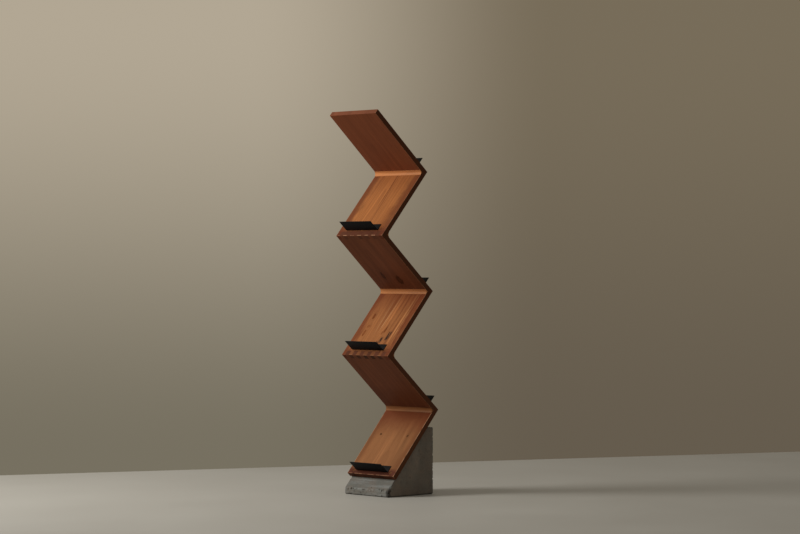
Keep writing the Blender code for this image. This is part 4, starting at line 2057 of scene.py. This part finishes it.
@dataclass
class Studio:
    """The floor, the soft light and the camera."""

    camera_place: tuple[float, float, float] = (7.9216, -7.5809, 0.9626)
    camera_azimuth: float = math.radians(46.02)
    camera_pitch: float = math.radians(0.039)
    camera_reach: float = 100.0
    lens: float = 117.2
    sensor: float = 36.0
    floor_reach: float = 6.0
    floor_behind: float = 1.66
    floor_turn: float = 0.39
    floor_colour: Colour = (0.42, 0.40, 0.35)
    floor_waves: Waves = Waves(1.6, 4.0)
    # Backdrop colours with painted light to the left and painted shadow to the right
    wall_left_lit_low: Colour = (0.182, 0.162, 0.118)
    wall_left_lit_high: Colour = (0.445, 0.385, 0.295)
    wall_right_shaded_low: Colour = (0.130, 0.106, 0.075)
    wall_right_shaded_high: Colour = (0.185, 0.151, 0.101)
    wall_across: Pair = (-0.06, 0.06)
    wall_up: Pair = (-0.075, 0.095)
    fill_level: Colour = (0.06, 0.053, 0.045)
    fill_overhead: Colour = (0.42, 0.405, 0.38)
    key_way: Pair = (-0.53, -0.848)
    key_distance: float = 3.1
    key_height: float = 2.8
    key_target: float = 0.85
    key_width: float = 1.3
    key_rise: float = 1.7
    key_power: float = 105.0

    @property
    def right(self) -> Vector:
        """The picture's right-hand direction."""
        return Vector((math.cos(self.camera_azimuth), math.sin(self.camera_azimuth), 0.0))

    @property
    def back(self) -> Vector:
        """The direction from the shelf to the camera, level."""
        return Vector((math.sin(self.camera_azimuth), -math.cos(self.camera_azimuth), 0.0))

    def build(self) -> None:
        """Make the floor, the light and the camera."""
        self.build_floor()
        self.build_world()
        self.build_lamp()
        self.build_camera()
        bpy.context.scene.view_settings.view_transform = "Standard"

    def build_floor(self) -> None:
        """A level floor that ends a little way behind the shelf."""
        reach = self.floor_reach
        near = [(-reach, reach), (reach, reach)]
        far = [(side, -self.floor_behind - self.floor_turn * side) for side in (reach, -reach)]
        corners = [self.right * side + self.back * depth for side, depth in near + far]
        mesh = bpy.data.meshes.new("floor")
        mesh.from_pydata([tuple(corner) for corner in corners], [], [(0, 1, 2, 3)])
        paint = Paint("pale_floor")
        cloud = paint.noise(paint.place(units=1.0), self.floor_waves)
        colour = paint.times(self.floor_colour, 0.9 + cloud * 0.2)
        mesh.materials.append(paint.dress(Base_Color=colour, Roughness=0.5 + cloud * 0.2))
        floor = bpy.data.objects.new("floor", mesh)
        bpy.context.scene.collection.objects.link(floor)

    def build_world(self) -> None:
        """A low fill, brighter overhead; the camera and reflections see a wall with painted light, brighter
        to the left and upwards, and painted shadow to the right.
        """
        world = bpy.data.worlds.new("studio")
        bpy.context.scene.world = world
        world.use_nodes = True
        graph = Graph(world.node_tree)
        shader = world.node_tree.nodes["Background"]
        way = graph.node("ShaderNodeTexCoord").out("Generated")
        height = graph.split(way)[2]
        upward = height.rise(*self.wall_up)
        across = graph.vector("DOT_PRODUCT", way, tuple(self.right)).out("Value").rise(*self.wall_across)
        # Painted light on the backdrop: brighter to the left and upwards, painted shadow to the right
        wall_left_lit = graph.mix(upward, self.wall_left_lit_low, self.wall_left_lit_high)
        wall_right_shaded = graph.mix(upward, self.wall_right_shaded_low, self.wall_right_shaded_high)
        rays = graph.node("ShaderNodeLightPath")
        seen = rays
        for kind in ("Is Glossy Ray", "Is Transmission Ray"):
            seen = seen.math("MAXIMUM", rays.out(kind))
        fill = graph.mix(height.rise(0.0, 1.0), self.fill_level, self.fill_overhead)
        graph.feed(shader.inputs["Color"], graph.mix(seen, fill, graph.mix(across, wall_left_lit, wall_right_shaded)))
        shader.inputs["Strength"].default_value = 1.0

    def build_lamp(self) -> None:
        """A tall soft lamp to the left of the picture."""
        data = bpy.data.lights.new("key_lamp", "AREA")
        data.shape = "RECTANGLE"
        data.size = self.key_width
        data.size_y = self.key_rise
        data.energy = self.key_power
        lamp = bpy.data.objects.new("key_lamp", data)
        x, y = Vector(self.key_way).normalized() * self.key_distance
        lamp.location = (x, y, self.key_height)
        target = Vector((0.0, 0.0, self.key_target))
        lamp.rotation_euler = (target - lamp.location).to_track_quat("-Z", "Y").to_euler()
        bpy.context.scene.collection.objects.link(lamp)

    def build_camera(self) -> None:
        """The camera at the photograph's viewing angle."""
        data = bpy.data.cameras.new("photo_camera")
        data.lens = self.lens
        data.sensor_width = self.sensor
        data.sensor_fit = "HORIZONTAL"
        data.clip_end = self.camera_reach
        camera = bpy.data.objects.new("photo_camera", data)
        camera.location = self.camera_place
        camera.rotation_euler = (math.pi / 2 - self.camera_pitch, 0.0, self.camera_azimuth)
        bpy.context.scene.collection.objects.link(camera)
        bpy.context.scene.camera = camera


# The grain of each board, as its face shows it

RED_EARLY: Colour = (0.226, 0.068, 0.0288)
RED_LATE: Colour = (0.126, 0.0352, 0.015)
# Rear boards 1 and 2: darker than the top rear board, partly the wood's own tone and partly painted shade
DEEP_SHADED_EARLY: Colour = (0.165, 0.053, 0.0236)
DEEP_SHADED_LATE: Colour = (0.0907, 0.0278, 0.0124)
GOLD_LATE: Colour = (0.124, 0.034, 0.0117)
GOLD_PALE: Colour = (0.56, 0.275, 0.115)
GOLD_BROWN: Colour = (0.215, 0.066, 0.019)
GOLD_DEEP: Colour = (0.115, 0.031, 0.01)
GOLD_OLIVE: Colour = (0.18, 0.068, 0.024)

# Painted shade: darker lower halves of the two lower rear boards
LOWER_HALF_PAINTED_SHADE = Streak(0.0, -80.0, 190.0, 420.0, darkness=0.25, sway=0.0, colour=DEEP_SHADED_LATE)

FIGURES: dict[str, Figure] = {
    "front_board_1": Figure(
        (0.286, 0.12, 0.0455), (0.173, 0.062, 0.0214), ring_width=6.0, contrast=0.25,
        stripe=0.3, stripe_width=30.0, flecks=0.0, blush=0.15, darker_end=1.0, upper_painted_shade=0.9,
        rubbed_and_highlit=0.9, rubbed_and_highlit_end=0.5, heart_depth=90.0,
        stave_width=96.0, stave_shift=19.0, stave_spread=0.12, seed=3.0,
        streaks=(
            Streak(77.0, 60.0, 330.0, 1.5, 0.0, 0.12, 0.3),
            Streak(140.0, -90.0, 460.0, 46.0, 0.0, 0.6, 0.2, GOLD_OLIVE),
        ),
    ),
    "rear_board_1": Figure(
        DEEP_SHADED_EARLY, DEEP_SHADED_LATE, contrast=0.25, stripe=0.22, stripe_width=20.0, seed=7.0,
        streaks=(LOWER_HALF_PAINTED_SHADE,),
    ),
    "front_board_2": Figure(
        (0.36, 0.135, 0.0435), GOLD_LATE, ring_width=7.0, contrast=0.3,
        stripe=0.55, stripe_width=13.0, stripe_from=-40.0, flecks=0.2, blush=0.75,
        darker_end=0.6, upper_painted_shade=0.65, rubbed_and_highlit_end=0.3, heart_x=-60.0, drift=4.0, seed=12.0,
        knot_colour=(0.16, 0.036, 0.005),
        knots=(
            Knot(-88.0, 213.0, 6.5, 16.0, 1.0),
            Knot(-87.0, 121.0, 6.5, 18.0, 0.8),
            Knot(-84.0, 158.0, 9.0, 8.0, 0.5),
            Knot(30.0, 140.0, 5.5, 15.0, 0.9),
            Knot(20.0, 124.0, 4.0, 10.0, 0.7),
        ),
        streaks=(
            Streak(-13.0, 104.0, 400.0, 9.0, 0.012, 0.6, 0.12, GOLD_BROWN),
            Streak(-12.0, 190.0, 440.0, 17.0, 0.0, 0.4, 0.12, GOLD_BROWN),
            Streak(-23.0, 100.0, 340.0, 3.0, -0.02, 0.6, 0.1, GOLD_PALE),
            Streak(-6.0, 110.0, 370.0, 3.2, 0.045, 0.75, 0.1, GOLD_PALE),
            Streak(27.0, 200.0, 400.0, 4.0, 0.06, 0.5, 0.2, GOLD_BROWN),
            Streak(79.0, 60.0, 400.0, 4.5, 0.01, 0.6, 0.15, GOLD_BROWN),
            Streak(95.0, 60.0, 400.0, 2.8, 0.015, 0.65, 0.1, GOLD_BROWN),
            Streak(87.5, 60.0, 400.0, 3.0, 0.02, 0.6, 0.1, GOLD_PALE),
            Streak(101.5, 60.0, 400.0, 2.8, 0.015, 0.6, 0.1, GOLD_PALE),
            Streak(119.0, 40.0, 420.0, 7.0, -0.02, 0.8, 0.4, GOLD_DEEP),
            Streak(124.0, 56.0, 112.0, 10.0, 0.0, 0.7, 0.5, GOLD_DEEP),
            Streak(63.0, 78.0, 138.0, 12.0, 0.16, 1.0, 0.75),
            Streak(27.0, 54.0, 106.0, 14.0, 0.25, 1.0, 0.7),
        ),
    ),
    "rear_board_2": Figure(
        DEEP_SHADED_EARLY, DEEP_SHADED_LATE, contrast=0.3, stripe=0.25, stripe_width=20.0, seed=17.0,
        knots=(Knot(53.0, 121.0, 9.0, 22.0), Knot(-26.0, 95.0, 16.0, 27.0)),
        streaks=(LOWER_HALF_PAINTED_SHADE, Streak(-60.0, 60.0, 460.0, 28.0, 0.0, 0.45, 0.3, RED_EARLY)),
    ),
    "front_board_3": Figure(
        (0.4, 0.144, 0.042), GOLD_LATE, ring_width=6.0, contrast=0.3,
        stripe=0.3, stripe_width=11.0, flecks=0.12, blush=0.6, darker_end=0.95, upper_painted_shade=0.3,
        rubbed_and_highlit_end=0.9, end_tone=1.7, heart_depth=80.0, seed=21.0,
        streaks=(
            Streak(4.0, 130.0, 400.0, 3.4, -0.006, 0.85, 0.2, GOLD_DEEP),
            Streak(-140.0, -90.0, 460.0, 62.0, 0.0, 0.85, 0.25, GOLD_OLIVE),
            Streak(140.0, -90.0, 460.0, 60.0, 0.0, 0.85, 0.25, GOLD_OLIVE),
            Streak(96.0, -90.0, 190.0, 34.0, 0.0, 0.6, 0.25, GOLD_BROWN),
        ),
    ),
    "rear_board_3": Figure(
        RED_EARLY, RED_LATE, contrast=0.3, stripe=0.22, stripe_width=18.0, seed=26.0,
    ),
}


def main() -> None:
    """Build the shelf from the foot up, then the studio round it."""
    logging.basicConfig(level=logging.INFO, format="%(name)s %(message)s")
    zigzag = Zigzag()
    Foot(zigzag, CastConcrete()).build()
    Boards(zigzag, FIGURES, OiledPine(zigzag)).build()
    Coves(zigzag, CovePine()).build()
    Ledges(zigzag, CoatedSteel(), BLACK_OXIDE).build()
    Anchors(zigzag, DARK_STEEL, ZINC).build()
    Studio().build()


if __name__ == "__main__":
    main()
